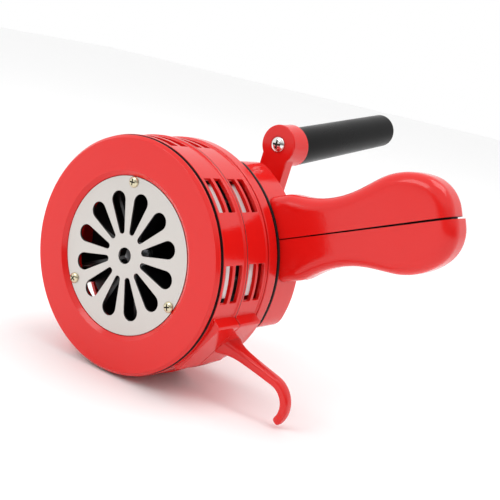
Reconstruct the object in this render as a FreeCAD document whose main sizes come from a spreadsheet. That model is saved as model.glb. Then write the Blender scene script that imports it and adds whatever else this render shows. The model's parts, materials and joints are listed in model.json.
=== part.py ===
import FreeCAD, Part
import math
import os
import re
import Sketcher

# Hand crank siren, in millimetres. The drum's axis runs along Y, the crank is at +Y and Z is up.
# Each piece is drawn about the drum's axis, with the front face at y = 0 and the handle along +X.
# The siren is then turned by the stance angle, so that it rests on the drum and the hook's tip,
# and moved so that the origin is on the table, under the middle of the siren's box.

doc = FreeCAD.newDocument("hand_crank_siren")
sheet = doc.addObject("Spreadsheet::Sheet", "Sizes")

SIZES = {
    # The middle of the siren's box
    "middle_x": 41.85,
    "middle_y": 91.96,
    # Front cover and grille
    "ring_lip": 1.7,
    "ring_bevel": 1.5,
    "ring_depth": 2,
    "seat_radius": 39.6,
    "seat_depth": 2.8,
    "seat_bevel": 2.3,
    "seat_opening": 33.5,
    "web_radius": 47.6,
    "web_depth": 6,
    "plate_gap": 0.4,
    "plate_thick": 1,
    "plate_hole": 4.05,
    "petal_count": 12,
    "petal_inner": 10.9,
    "petal_outer": 32.2,
    "petal_inner_width": 3.2,
    "petal_outer_width": 8.8,
    "grille_screw_circle": 36.5,
    "grille_screw_angle": 72.5,
    "grille_screw_count": 3,
    "grille_head_radius": 2.75,
    "grille_head_height": 1.4,
    "grille_screw_radius": 1.5,
    "grille_screw_length": 4,
    "hole_slack": 0.05,
    # Drum
    "rotor_gap": 1.7,
    "drum_wall": 2,
    "cover_gap": 1.6,
    "neck_drop": 2.2,
    "neck_wall": 1.5,
    "neck_step": 1.2,
    "neck_seat": 1.2,
    "spigot_depth": 1.8,
    "spigot_thick": 1,
    "drum_split": 21.3,
    "drum_end": 39.5,
    "rib_height": 0.7,
    "rib_width": 1.7,
    "window_count": 8,
    "window_pitch": 42,
    "window_angle": 17.7,
    "window_phase": -19.2,
    "bar_first": 1.8,
    "slot_first": 5.2,
    "bar_second": 2.3,
    "slot_second": 5.2,
    "bar_third": 1.8,
    "slot_third": 6.4,
    "bar_fourth": 2,
    "slot_fourth": 4.8,
    # Hook's pad and hook
    "pad_angle": 57,
    "pad_height": 1.5,
    "pad_above": 22,
    "pad_below": 12,
    "pad_depth": 6,
    "pad_inset": 1.2,
    # Flange screws
    "flange_screw_inset": 4.9,
    "flange_screw_phase": 47.5,
    "flange_screw_count": 4,
    "flange_lug_radius": 3.6,
    "flange_lug_depth": 3.4,
    "flange_screw_radius": 1.5,
    "flange_head_radius": 2.8,
    "flange_head_height": 2,
    "flange_head_sink": 2.4,
    "hook_x": 55.4,
    "hook_z": -76,
    "hook_radius": 11.3,
    "hook_start": 54,
    "hook_end": -66,
    "hook_wire": 2.5,
    "hook_arm": 31,
    "hook_root": 5.4,
    "hook_plane": 30,
    # Rear flange and bearings
    "flange_lip": 0.7,
    "flange_depth": 7.7,
    "flange_web": 3,
    "flange_rim_radius": 46,
    "hub_radius": 11,
    "hub_front": 3.4,
    "hub_end": 46.6,
    "bearing_inset": 0.2,
    "bearing_radius": 7.5,
    "bearing_width": 5,
    # Gear housing
    "housing_neck_drop": 2.8,
    "housing_groove": 2,
    "housing_radius": 59.6,
    "housing_draft": 0.5,
    "housing_end": 68,
    "housing_wall": 2.4,
    "housing_flat": 42.7,
    "housing_back": 3,
    "housing_edge": 1,
    "housing_screw_inset": 8.6,
    "housing_screw_angle": 28.6,
    "housing_screw_radius": 1.5,
    "housing_head_radius": 2.8,
    "housing_head_height": 1.8,
    "housing_post_radius": 3.6,
    "lug_end": 74,
    "lug_half": 6,
    "lug_thick": 10,
    "lug_edge": 1,
    # Rotor
    "rotor_front": 6.2,
    "rotor_radius": 55.8,
    "rotor_rim": 3.2,
    "rotor_back": 2.5,
    "rotor_length": 28.5,
    "rotor_ports": 9,
    "rotor_phase": 22.2,
    "rotor_port_angle": 21.8,
    "rotor_port_front": 2,
    "rotor_groove_start": 11.8,
    "rotor_groove_width": 5.4,
    "rotor_groove_depth": 2.2,
    "rotor_hub": 8,
    "rotor_hub_front": 13.6,
    "vane_thick": 1.6,
    "vane_root": 1,
    "vane_front": 9.6,
    "shaft_radius": 3,
    "shaft_front": 7.6,
    "shaft_end": 58.6,
    "shaft_slack": 0.05,
    "shoulder_radius": 5,
    "shoulder_gap": 0.4,
    "washer_radius": 6.5,
    "washer_thick": 1.2,
    "nut_flats": 10,
    "nut_height": 4,
    # Gears
    "gear_offset": 20,
    "gear_module": 0.8,
    "pressure_angle": 25,
    "gear_clearance": 0.25,
    "gear_addendum": 0.95,
    "crank_teeth": 54,
    "idler_pinion_teeth": 12,
    "idler_teeth": 42,
    "rotor_pinion_teeth": 12,
    "tooth_slack": 0.12,
    "gear_hub_gap": 0.6,
    "idler_gear_width": 11.4,
    "gear_side_gap": 0.8,
    "crank_gear_width": 4.6,
    "pinion_overhang": 0.3,
    "idler_pin_radius": 2.5,
    # Crank
    "crank_shaft_radius": 4,
    "crank_bush_radius": 6.5,
    "crank_bush_lip": 8,
    "crank_bush_lip_thick": 1.2,
    "crank_boss_radius": 10,
    "crank_boss_depth": 7.4,
    "arm_gap": 0.4,
    "crank_radius": 57.6,
    "crank_angle": 62.2,
    "arm_thick": 7,
    "arm_half_hub": 8,
    "arm_half_boss": 8,
    "arm_hub_radius": 10,
    "arm_hub_depth": 9,
    "crank_shoulder_radius": 6,
    "crank_shoulder_thick": 1.6,
    "crank_thread_end": 1,
    "arm_boss_radius": 10.4,
    "arm_boss_depth": 15,
    "arm_draft": 3,
    "arm_spot": 1.5,
    "crank_screw_room": 0.6,
    "crank_nut_flats": 13,
    "crank_nut_height": 5,
    # Knob
    "knob_splay": 9.35,
    "knob_radius": 10,
    "knob_far_radius": 9.4,
    "knob_length": 93,
    "knob_gap": 0.4,
    "knob_cap": 3,
    "knob_edge": 1.6,
    "spindle_radius": 2.9,
    "spindle_head_radius": 5,
    "spindle_head_height": 2.4,
    "spindle_insert": 9,
    "spindle_bend": 1.5,
    "spindle_short": 0.6,
    "spindle_drop": 1,
    "knob_end_bore": 5.6,
    "knob_end_depth": 8,
    "knob_slack": 0.08,
    "crank_screw_radius": 4.1,
    "crank_screw_height": 2.1,
    "crank_screw_sink": 0.4,
    "crank_screw_shank": 1.9,
    "crank_screw_length": 9,
    # Handle
    "handle_front": 49.1,
    "handle_depth": 19,
    "handle_gap": 0.3,
    "base_half": 21,
    "upper_rise": 1.1,
    "upper_short": 1.3,
    "base_end": 67.4,
    "waist_at": 90.2,
    "waist_corner": 13.5,
    "bulb_at": 130.2,
    "bulb_corner": 26,
    "end_at": 152.9,
    "end_corner": 14.2,
    "base_round": 10,
    "waist_round": 56,
    "bulb_round": 34,
    "end_round": 21,
    "handle_edge": 6.5,
    "handle_seam": 0.3,
    "seam_root": 0.4,
    "seam_end": 0.9,
    "near_cavity": 11,
    "far_cavity": 17,
    "handle_shell": 3,
    "handle_rib": 5,
    "handle_screw_seat": 14,
    "handle_screw_grip": 10,
    "handle_screw_room": 1,
    "handle_head_height": 2.2,
    "handle_screw_radius": 1.75,
    "handle_head_radius": 3.1,
    "handle_screw_first": 64.5,
    "handle_screw_second": 98,
    "handle_screw_third": 122,
}

for row, (alias, number) in enumerate(SIZES.items(), start=1):
    sheet.set("A%d" % row, alias)
    sheet.set("B%d" % row, str(number))
    sheet.setAlias("B%d" % row, alias)

# How the siren lies: turned until the drum and the hook's tip are level
DERIVED = {
    "drum_radius": "rotor_radius + rotor_gap + drum_wall",
    "neck_radius": "drum_radius - neck_drop",
    "neck_inside": "neck_radius - neck_wall",
    "ring_radius": "neck_radius + ring_lip",
    "rib_radius": "drum_radius + rib_height",
    "flange_radius": "drum_radius + flange_lip",
    "flange_screw_circle": "drum_radius - flange_screw_inset",
    "pad_reach": "drum_radius + pad_height",
    "housing_neck": "housing_radius - housing_neck_drop",
    "housing_back_radius": "housing_radius - housing_draft",
    "housing_screw_circle": "housing_radius - housing_screw_inset",
    "tip_x": "hook_x + hook_radius * cos(hook_end)",
    "tip_z": "hook_z + hook_radius * sin(hook_end)",
    "tip_reach": "sqrt(tip_x * tip_x + tip_z * tip_z)",
    "stance": "(atan2(tip_x; tip_z) - acos((hook_wire - rib_radius) / tip_reach)) / 1 deg",
}
for row, (alias, text) in enumerate(DERIVED.items(), start=len(SIZES) + 1):
    sheet.set("A%d" % row, alias)
    sheet.set("B%d" % row, "=" + text)
    sheet.setAlias("B%d" % row, alias)
doc.recompute()


# Helpers that tie a property to the sheet
def formula(text):
    """An expression in size names, such as "drum_radius - drum_wall", as the sheet's cells."""
    return re.sub(r"[a-z_]+(?![a-z_(])", lambda word: "Sizes." + word.group(0)
                  if word.group(0) in SIZES or word.group(0) in DERIVED else word.group(0), str(text))


def size(alias):
    """A size as a number."""
    return float(sheet.get(alias))


def bind(thing, prop, text):
    thing.setExpression(prop, formula(text))


def place(thing, x="0", y="0", z="0", turn="0 deg"):
    """Put a piece drawn about the drum's axis at x, y, z, turned up by an angle from the handle."""
    thing.Placement = FreeCAD.Placement(FreeCAD.Vector(), FreeCAD.Rotation(FreeCAD.Vector(0, -1, 0), 10))
    bind(thing, "Placement.Rotation.Angle", "stance * 1 deg + (%s)" % turn)
    bind(thing, "Placement.Base.x", "(%s) * cos(stance) - (%s) * sin(stance) - middle_x" % (x, z))
    bind(thing, "Placement.Base.y", "%s - middle_y" % y)
    bind(thing, "Placement.Base.z", "(%s) * sin(stance) + (%s) * cos(stance) + rib_radius" % (x, z))
    return thing


# Helpers that draw and shape a body. Edges are told apart to within NEAR millimetres.
NEAR = 0.01


def new_body(name):
    body = doc.addObject("PartDesign::Body", name)
    body.Label = name
    return body


def origin_part(body, role):
    return [part for part in body.Origin.OriginFeatures if part.Role == role][0]


def draw(body, name, role, loops, start="0"):
    """A sketch on one of the body's own planes. A loop is a polygon's corners or a circle."""
    sketch = body.newObject("Sketcher::SketchObject", name)
    sketch.AttachmentSupport = (origin_part(body, role), "")
    sketch.MapMode = "FlatFace"
    if start != "0":
        bind(sketch, "AttachmentOffset.Base.z", "-(%s)" % start)
    for loop in loops:
        if isinstance(loop, tuple):
            draw_circle(sketch, *loop)
        else:
            draw_polygon(sketch, loop)
    return sketch


def pin_point(sketch, geometry, point, x, y):
    """Tie a point of the sketch to its two coordinates."""
    for kind, value in (("DistanceX", x), ("DistanceY", y)):
        index = sketch.addConstraint(Sketcher.Constraint(kind, -1, 1, geometry, point, 1.0))
        bind(sketch, "Constraints[%d]" % index, value)


def draw_circle(sketch, x, y, radius):
    circle = Part.Circle(FreeCAD.Vector(1, 1, 0), FreeCAD.Vector(0, 0, 1), 1)
    index = sketch.addGeometry(circle, False)
    limit = sketch.addConstraint(Sketcher.Constraint("Radius", index, 1.0))
    bind(sketch, "Constraints[%d]" % limit, radius)
    pin_point(sketch, index, 3, x, y)


def draw_polygon(sketch, corners):
    count = len(corners)
    spread = [FreeCAD.Vector(math.cos(2 * math.pi * i / count), math.sin(2 * math.pi * i / count), 0)
              for i in range(count)]
    lines = [sketch.addGeometry(Part.LineSegment(spread[i], spread[(i + 1) % count]), False)
             for i in range(count)]
    for i in range(count):
        sketch.addConstraint(Sketcher.Constraint("Coincident", lines[i], 2, lines[(i + 1) % count], 1))
    for line, (x, y) in zip(lines, corners):
        pin_point(sketch, line, 1, x, y)


def revolve(body, name, outline, kind="PartDesign::Revolution"):
    """Turn an outline, given as pairs of y and radius, about the Y axis."""
    sketch = draw(body, name + "_outline", "YZ_Plane", [outline])
    turned = body.newObject(kind, name)
    turned.Profile = sketch
    turned.ReferenceAxis = (sketch, ["H_Axis"])
    turned.Angle = 360
    sketch.Visibility = False
    return turned


def pad(body, name, loops, start, depth, draft="0"):
    """Grow the loops, drawn in X and Z, from y = start towards +Y."""
    sketch = draw(body, name + "_outline", "XZ_Plane", loops, start)
    grown = body.newObject("PartDesign::Pad", name)
    grown.Profile = sketch
    grown.Reversed = True
    bind(grown, "Length", depth)
    if draft != "0":
        bind(grown, "TaperAngle", draft)
    return grown


def pocket(body, name, loops, start, depth):
    """Cut the loops, drawn in X and Z, from y = start towards +Y."""
    sketch = draw(body, name + "_outline", "XZ_Plane", loops, start)
    cut = body.newObject("PartDesign::Pocket", name)
    cut.Profile = sketch
    bind(cut, "Length", depth)
    return cut


def polar(body, name, feature, count, pitch=""):
    """Repeat a feature about the Y axis, evenly or, with a pitch, upward by that angle each time."""
    pattern = body.newObject("PartDesign::PolarPattern", name)
    pattern.Originals = [feature]
    pattern.Axis = (origin_part(body, "Y_Axis"), [""])
    pattern.Reversed = True
    pattern.Angle = 360
    if pitch:
        bind(pattern, "Angle", "%s * (%s - 1)" % (pitch, count))
    bind(pattern, "Occurrences", count)
    body.Tip = pattern
    return pattern


def on_circle(radius, angle):
    """The X and Z of a point on a circle about the drum's axis."""
    return "(%s) * cos(%s)" % (radius, angle), "(%s) * sin(%s)" % (radius, angle)


def ring_of(circle, phase, count):
    """Points spaced evenly on a circle."""
    return [on_circle(circle, "%s + 360 * %d / %s" % (phase, number, count))
            for number in range(int(size(count)))]


def rectangle(low_x, low_z, high_x, high_z):
    return [(low_x, low_z), (high_x, low_z), (high_x, high_z), (low_x, high_z)]


def tube(body, name, start, end, outer, inner):
    revolve(body, name, [(start, inner), (end, inner), (end, outer), (start, outer)])


def edges_where(feature, test):
    """Names of the feature's edges that pass a test."""
    return ["Edge%d" % (i + 1) for i, edge in enumerate(feature.Shape.Edges) if test(edge)]


def dress(body, name, kind, test, amount):
    """Round or bevel the edges of the body's last feature that pass a test."""
    doc.recompute()
    base = body.Tip
    rounded = body.newObject(kind, name)
    rounded.Base = (base, edges_where(base, test))
    bind(rounded, "Radius" if kind.endswith("Fillet") else "Size", amount)
    return rounded


# Front cover: the enamelled ring, recessed in the middle for the grille plate and grooved behind,
# where it is pressed on the front casing's neck
grille_screw_x, grille_screw_z = on_circle("grille_screw_circle", "grille_screw_angle")

cover = place(new_body("front_cover"))
revolve(cover, "cover_ring", [
    ("0", "seat_radius + seat_bevel"), ("0", "ring_radius - ring_bevel"), ("ring_bevel", "ring_radius"),
    ("ring_depth", "ring_radius"), ("ring_depth", "neck_radius"), ("ring_depth - neck_seat", "neck_radius"),
    ("ring_depth - neck_seat", "neck_inside"), ("ring_depth", "neck_inside"),
    ("ring_depth", "web_radius"), ("web_depth", "web_radius"),
    ("web_depth", "seat_opening"), ("seat_depth", "seat_opening"), ("seat_depth", "seat_radius"),
    ("seat_depth - plate_thick", "seat_radius")])
grille_screw_hole = (grille_screw_x, grille_screw_z, "grille_screw_radius + hole_slack")
cover_hole = pocket(cover, "cover_hole", [grille_screw_hole], "0", "web_depth")
polar(cover, "cover_holes", cover_hole, "grille_screw_count")

# Grille plate: thin stainless steel, pierced by tapered petals that run out from the middle
grille = place(new_body("grille_plate"))
grille_front = "seat_depth - plate_thick"
pad(grille, "grille_disc", [("0", "0", "seat_radius - plate_gap"), ("0", "0", "plate_hole")],
    grille_front, "plate_thick")
inner_end = "petal_inner + petal_inner_width / 2"
outer_end = "petal_outer - petal_outer_width / 2"
petal_sides = [(inner_end, "-petal_inner_width / 2"), (outer_end, "-petal_outer_width / 2"),
               (outer_end, "petal_outer_width / 2"), (inner_end, "petal_inner_width / 2")]
petal = pocket(grille, "petal", [petal_sides], grille_front, "plate_thick")
polar(grille, "petals", petal, "petal_count")
petal_ends = pocket(grille, "petal_end", [(inner_end, "0", "petal_inner_width / 2"),
                                          (outer_end, "0", "petal_outer_width / 2")],
                    grille_front, "plate_thick")
polar(grille, "petal_ends", petal_ends, "petal_count")
plate_screw_hole = pocket(grille, "plate_screw_hole", [grille_screw_hole], grille_front, "plate_thick")
polar(grille, "plate_screw_holes", plate_screw_hole, "grille_screw_count")


# Screws: a head, a shank and, for the ones that show, a cross recess
def screw_group(name, spots, seat, head, shank, out="-"):
    """Like screws at some spots, their heads out of the seat towards -Y, or +Y with out="+".

    A head or shank is given by its radius and its length.
    """
    group = []
    for number, (x, z) in enumerate(spots):
        parts = []
        inward = "-" if out == "+" else "+"
        for tag, (radius, length), towards in (("head", head, out), ("shank", shank, inward)):
            rod = doc.addObject("Part::Cylinder", "%s_%s_%d" % (name, tag, number))
            bind(rod, "Radius", radius)
            bind(rod, "Height", length)
            lay_along_y(rod, x, seat if towards == "+" else "(%s) - (%s)" % (seat, length), z)
            parts.append(rod)
        fused = doc.addObject("Part::MultiFuse", "%s_screw_%d" % (name, number))
        fused.Shapes = parts
        group.append(fused)
    gathered = doc.addObject("Part::Compound", name)
    gathered.Links = group
    gathered.Label = name
    return place(gathered)


def lay_along_y(rod, x, y, z):
    """Lay a cylinder or cone along +Y with its base at x, y, z."""
    rod.Placement = FreeCAD.Placement(FreeCAD.Vector(), FreeCAD.Rotation(FreeCAD.Vector(1, 0, 0), -90))
    bind(rod, "Placement.Base.x", x)
    bind(rod, "Placement.Base.y", y)
    bind(rod, "Placement.Base.z", z)


screw_group("grille_screws", ring_of("grille_screw_circle", "grille_screw_angle", "grille_screw_count"),
            grille_front, ("grille_head_radius", "grille_head_height"),
            ("grille_screw_radius", "grille_screw_length"))

# Drum: two castings that meet at a ribbed joint and are pierced by rows of side windows
drum_inside = "drum_radius - drum_wall"
front_start = "ring_depth + cover_gap"
spigot_radius = drum_inside + " + spigot_thick"
spigot_start = "drum_split - spigot_depth"


def window(body, name, start, width):
    """One row of side windows, their ends on radii of the drum."""
    ends = []
    for radius, sign in (("neck_inside - drum_wall", "-"), ("drum_radius + drum_wall", "-"),
                         ("drum_radius + drum_wall", "+"), ("neck_inside - drum_wall", "+")):
        ends.append(on_circle(radius, "window_phase %s window_angle / 2" % sign))
    polar(body, name + "s", pocket(body, name, [ends], start, width), "window_count", "window_pitch")


def pad_corner(reach, along):
    """A point at a distance from the drum's axis, and along the flat of the hook's pad."""
    return ("(%s) * cos(pad_angle) + (%s) * sin(pad_angle)" % (reach, along),
            "(%s) * cos(pad_angle) - (%s) * sin(pad_angle)" % (along, reach))


def hook_pad(body, name, start, depth):
    """The raised flat on the drum's lower side that carries the hook."""
    inner = "pad_reach - pad_depth"
    corners = [pad_corner("pad_reach", "pad_above"), pad_corner("pad_reach", "-pad_below"),
               pad_corner(inner, "-pad_below"), pad_corner(inner, "pad_above")]
    return pad(body, name, [corners], start, depth)


front_casing = place(new_body("front_casing"))
neck_back = front_start + " + neck_step"
revolve(front_casing, "front_wall", [
    ("ring_depth - neck_seat", "neck_inside"), (neck_back, "neck_inside"), (neck_back, drum_inside),
    (spigot_start, drum_inside), (spigot_start, spigot_radius),
    ("drum_split", spigot_radius), ("drum_split", "rib_radius"), ("drum_split - rib_width", "rib_radius"),
    ("drum_split - rib_width", "drum_radius"), (front_start, "drum_radius"), (front_start, "neck_radius"),
    ("ring_depth - neck_seat", "neck_radius")])
first_slot = front_start + " + bar_first"
second_slot = first_slot + " + slot_first + bar_second"
window(front_casing, "neck_window", "ring_depth", "cover_gap")
window(front_casing, "front_window_a", first_slot, "slot_first")
window(front_casing, "front_window_b", second_slot, "slot_second")
hook_pad(front_casing, "front_pad", front_start + " + pad_inset",
         "drum_split - (%s) - pad_inset" % front_start)
revolve(front_casing, "front_bore", [
    (neck_back, "hub_radius"), (neck_back, drum_inside), (spigot_start, drum_inside),
    (spigot_start, spigot_radius), ("drum_split", spigot_radius), ("drum_split", "hub_radius")],
    "PartDesign::Groove")

rear_shell = new_body("rear_shell")
revolve(rear_shell, "rear_wall", [
    (spigot_start, drum_inside), ("drum_end", drum_inside), ("drum_end", "drum_radius"),
    ("drum_split + rib_width", "drum_radius"), ("drum_split + rib_width", "rib_radius"),
    ("drum_split", "rib_radius"), ("drum_split", spigot_radius), (spigot_start, spigot_radius)])
third_slot = "drum_split + bar_third"
fourth_slot = third_slot + " + slot_third + bar_fourth"
window(rear_shell, "rear_window_a", third_slot, "slot_third")
window(rear_shell, "rear_window_b", fourth_slot, "slot_fourth")
hook_pad(rear_shell, "rear_pad", "drum_split", "drum_end - drum_split - pad_inset")
revolve(rear_shell, "rear_bore", [
    (spigot_start, "hub_radius"), (spigot_start, drum_inside), ("drum_end", drum_inside),
    ("drum_end", "hub_radius")], "PartDesign::Groove")
flange_screw_x, flange_screw_z = on_circle("flange_screw_circle", "flange_screw_phase")
flange_lug = pad(rear_shell, "flange_lug", [(flange_screw_x, flange_screw_z, "flange_lug_radius")],
                 "drum_end - flange_lug_depth", "flange_lug_depth")
polar(rear_shell, "flange_lugs", flange_lug, "flange_screw_count")
flange_screw_hole = (flange_screw_x, flange_screw_z, "flange_screw_radius + hole_slack")
lug_bore = pocket(rear_shell, "lug_bore", [flange_screw_hole], "drum_end - flange_lug_depth",
                  "flange_lug_depth")
polar(rear_shell, "lug_bores", lug_bore, "flange_screw_count")

# Hook: cast on the rear pad, a tapered arm that turns down into a round hook
hook_bend = doc.addObject("Part::Torus", "hook_bend")
bind(hook_bend, "Radius1", "hook_radius")
bind(hook_bend, "Radius2", "hook_wire")
bind(hook_bend, "Angle3", "hook_start - hook_end")
bind(hook_bend, "Placement", "placement(vector(hook_x; hook_plane; hook_z); "
     "rotation(vector(0; -1; 0); hook_end) * rotation(vector(1; 0; 0); 90))")
hook_tip = doc.addObject("Part::Sphere", "hook_tip")
bind(hook_tip, "Radius", "hook_wire")
bind(hook_tip, "Placement.Base.x", "tip_x")
bind(hook_tip, "Placement.Base.y", "hook_plane")
bind(hook_tip, "Placement.Base.z", "tip_z")
hook_arm = doc.addObject("Part::Cone", "hook_arm")
bind(hook_arm, "Radius1", "hook_root")
bind(hook_arm, "Radius2", "hook_wire")
bind(hook_arm, "Height", "hook_arm")
bind(hook_arm, "Placement", "placement(vector("
     "hook_x + hook_radius * cos(hook_start) - hook_arm * sin(hook_start); hook_plane; "
     "hook_z + hook_radius * sin(hook_start) + hook_arm * cos(hook_start)); "
     "rotation(vector(0; 1; 0); 180 - hook_start))")
rear_casing = doc.addObject("Part::MultiFuse", "rear_casing")
rear_casing.Shapes = [rear_shell, hook_arm, hook_bend, hook_tip]
rear_casing.Label = "rear_casing"
place(rear_casing)

# Rear flange: closes the drum and carries the rotor's two bearings in a long hub
flange_end = "drum_end + flange_depth"
hub_start = "drum_end - hub_front"
flange = place(new_body("rear_flange"))
revolve(flange, "flange_plate", [
    (hub_start, "bearing_radius"), ("hub_end", "bearing_radius"), ("hub_end", "hub_radius"),
    ("drum_end + flange_web", "hub_radius"), ("drum_end + flange_web", "flange_rim_radius"),
    (flange_end, "flange_rim_radius"), (flange_end, "flange_radius"), ("drum_end", "flange_radius"),
    ("drum_end", "hub_radius"), (hub_start, "hub_radius")])
flange_bore = pocket(flange, "flange_bore", [flange_screw_hole], "drum_end", "flange_depth")
polar(flange, "flange_bores", flange_bore, "flange_screw_count")
flange_sink = pocket(flange, "flange_sink",
                     [(flange_screw_x, flange_screw_z, "flange_head_radius + hole_slack")],
                     flange_end + " - flange_head_sink", "flange_head_sink")
polar(flange, "flange_sinks", flange_sink, "flange_screw_count")
housing_screw_spots = [on_circle("housing_screw_circle", angle) for angle in (
    "housing_screw_angle", "-housing_screw_angle", "180 + housing_screw_angle", "180 - housing_screw_angle")]
housing_screw_holes = [(x, z, "housing_screw_radius + hole_slack") for x, z in housing_screw_spots]
pocket(flange, "flange_tapped_holes", housing_screw_holes, "drum_end", "flange_depth")

screw_group("flange_screws", ring_of("flange_screw_circle", "flange_screw_phase", "flange_screw_count"),
            flange_end + " - flange_head_sink", ("flange_head_radius", "flange_head_height"),
            ("flange_screw_radius",
             "flange_depth - flange_head_sink + flange_lug_depth - hole_slack"), out="+")

# Bearings: plain rings of the ball bearings, pressed into the flange's hub
front_bearing = place(new_body("front_bearing"))
bearing_start = hub_start + " + bearing_inset"
tube(front_bearing, "front_race", bearing_start, bearing_start + " + bearing_width", "bearing_radius",
     "shaft_radius + shaft_slack")
rear_bearing = place(new_body("rear_bearing"))
tube(rear_bearing, "rear_race", "hub_end - bearing_width", "hub_end", "bearing_radius",
     "shaft_radius + shaft_slack")

# Gear train: where the idler stands, from the two centre distances
crank_to_idler = "gear_module * (crank_teeth + idler_pinion_teeth) / 2"
idler_to_rotor = "gear_module * (idler_teeth + rotor_pinion_teeth) / 2"
idler_x = "(pow(%s; 2) - pow(%s; 2) + pow(gear_offset; 2)) / (2 * gear_offset)" % (
    idler_to_rotor, crank_to_idler)
idler_z = "sqrt(pow(%s; 2) - pow(%s; 2))" % (idler_to_rotor, idler_x)
idler_gear_start = "hub_end + gear_hub_gap"
crank_gear_start = idler_gear_start + " + idler_gear_width + gear_side_gap"
crank_gear_end = crank_gear_start + " + crank_gear_width"
housing_floor = "housing_end - housing_back"

# Gear housing: a cup on the back of the flange with flat top and bottom walls, the crank's boss
# and the handle's lug
housing = place(new_body("gear_housing"))
neck_end = flange_end + " + housing_groove"
revolve(housing, "housing_cup", [
    (flange_end, "housing_neck - housing_wall"), (flange_end, "housing_neck"), (neck_end, "housing_neck"),
    (neck_end, "housing_radius"), ("housing_end - housing_edge", "housing_back_radius"),
    ("housing_end", "housing_back_radius - housing_edge"),
    ("housing_end", "0"), (housing_floor, "0"), (housing_floor, "housing_neck - housing_wall")])
housing_length = "housing_end - (%s)" % flange_end
flat_half = "sqrt(pow(housing_back_radius; 2) - pow(housing_flat; 2))"
for side in ("", "-"):
    level = side + "housing_flat"
    tag = "lower" if side else "upper"
    pocket(housing, tag + "_flat", [rectangle("-housing_radius", level, "housing_radius",
                                              side + "(housing_radius + housing_wall)")],
           flange_end, housing_length)
    pad(housing, tag + "_wall", [rectangle("-(%s)" % flat_half, level, flat_half,
                                           "%s(housing_flat - housing_wall)" % side)],
        flange_end, housing_length)
pad(housing, "housing_posts", [(x, z, "housing_post_radius") for x, z in housing_screw_spots],
    flange_end, "housing_end - housing_back - (%s)" % flange_end)
pocket(housing, "housing_bores", housing_screw_holes, flange_end, housing_length)
pad(housing, "crank_boss", [("gear_offset", "0", "crank_boss_radius")], "housing_end", "crank_boss_depth")
pocket(housing, "crank_bore", [("gear_offset", "0", "crank_bush_radius")], housing_floor,
       "housing_back + crank_boss_depth")
lug_middle = "handle_front + handle_depth / 2"
pad(housing, "handle_lug", [rectangle("housing_radius - housing_wall", "-lug_half", "lug_end", "lug_half")],
    lug_middle + " - lug_thick / 2", "lug_thick")
pocket(housing, "idler_socket", [(idler_x, idler_z, "idler_pin_radius")], housing_floor, "housing_back / 2")
dress(housing, "lug_bevel", "PartDesign::Chamfer",
      lambda edge: abs(edge.BoundBox.XMin - size("lug_end")) < NEAR and edge.BoundBox.YLength > NEAR,
      "lug_edge")

screw_group("housing_screws", housing_screw_spots,
            "housing_end", ("housing_head_radius", "housing_head_height"),
            ("housing_screw_radius", "housing_end - (%s) + flange_depth / 2" % flange_end), out="+")

# Crank bush: a flanged bronze sleeve in the housing's boss
crank_bush = place(new_body("crank_bush"), x="gear_offset")
bush_end = "housing_end + crank_boss_depth"
revolve(crank_bush, "bush_sleeve", [
    (housing_floor, "crank_shaft_radius + shaft_slack"),
    (bush_end + " + crank_bush_lip_thick", "crank_shaft_radius + shaft_slack"),
    (bush_end + " + crank_bush_lip_thick", "crank_bush_lip"), (bush_end, "crank_bush_lip"),
    (bush_end, "crank_bush_radius"), (housing_floor, "crank_bush_radius")])

# Rotor: a shaft in the two bearings and a ported wheel with radial vanes
rotor_end = "rotor_front + rotor_length"
shoulder_end = bearing_start + " - shoulder_gap"
rotor_shaft = place(new_body("rotor_shaft"))
revolve(rotor_shaft, "rotor_axle", [
    ("shaft_front", "0"), ("shaft_end", "0"), ("shaft_end", "shaft_radius"),
    (shoulder_end, "shaft_radius"), (shoulder_end, "shoulder_radius"),
    (rotor_end, "shoulder_radius"), (rotor_end, "shaft_radius"), ("shaft_front", "shaft_radius")])

groove_start = "rotor_front + rotor_groove_start"
groove_end = groove_start + " + rotor_groove_width"
groove_radius = "rotor_radius - rotor_groove_depth"
rotor = place(new_body("rotor_wheel"))
revolve(rotor, "rotor_cup", [
    ("rotor_hub_front", "shaft_radius"), (rotor_end, "shaft_radius"), (rotor_end, "rotor_radius"),
    (groove_end, "rotor_radius"), (groove_end, groove_radius), (groove_start, groove_radius),
    (groove_start, "rotor_radius"), ("rotor_front", "rotor_radius"),
    ("rotor_front", "rotor_radius - rotor_rim"),
    (rotor_end + " - rotor_back", "rotor_radius - rotor_rim"), (rotor_end + " - rotor_back", "rotor_hub"),
    ("rotor_hub_front", "rotor_hub")])


def across(radius, offset):
    """A point of the first vane, at a radius and to one side of its middle line."""
    return ("(%s) * cos(rotor_phase) - (%s) * sin(rotor_phase)" % (radius, offset),
            "(%s) * sin(rotor_phase) + (%s) * cos(rotor_phase)" % (radius, offset))


vane_foot, vane_tip = "rotor_hub - vane_root", "rotor_radius - rotor_rim / 2"
vane_sides = [across(vane_foot, "-vane_thick / 2"), across(vane_tip, "-vane_thick / 2"),
              across(vane_tip, "vane_thick / 2"), across(vane_foot, "vane_thick / 2")]
vane = pad(rotor, "vane", [vane_sides], "vane_front", "%s - vane_front" % rotor_end)
polar(rotor, "vanes", vane, "rotor_ports")
inside, outside = "rotor_radius - rotor_rim", "rotor_radius + rotor_rim"
port_sides = [on_circle(radius, "rotor_phase + 180 / rotor_ports %s rotor_port_angle / 2" % sign)
              for radius, sign in ((inside, "-"), (outside, "-"), (outside, "+"), (inside, "+"))]
port_start = "rotor_front + rotor_port_front"
port = pocket(rotor, "port", [port_sides], port_start, "%s - (%s)" % (rotor_end, port_start))
polar(rotor, "ports", port, "rotor_ports")

rotor_washer = place(new_body("rotor_washer"))
tube(rotor_washer, "washer_ring", "rotor_hub_front - washer_thick", "rotor_hub_front", "washer_radius",
     "shaft_radius")


NUT_SIDES = 6


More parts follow.
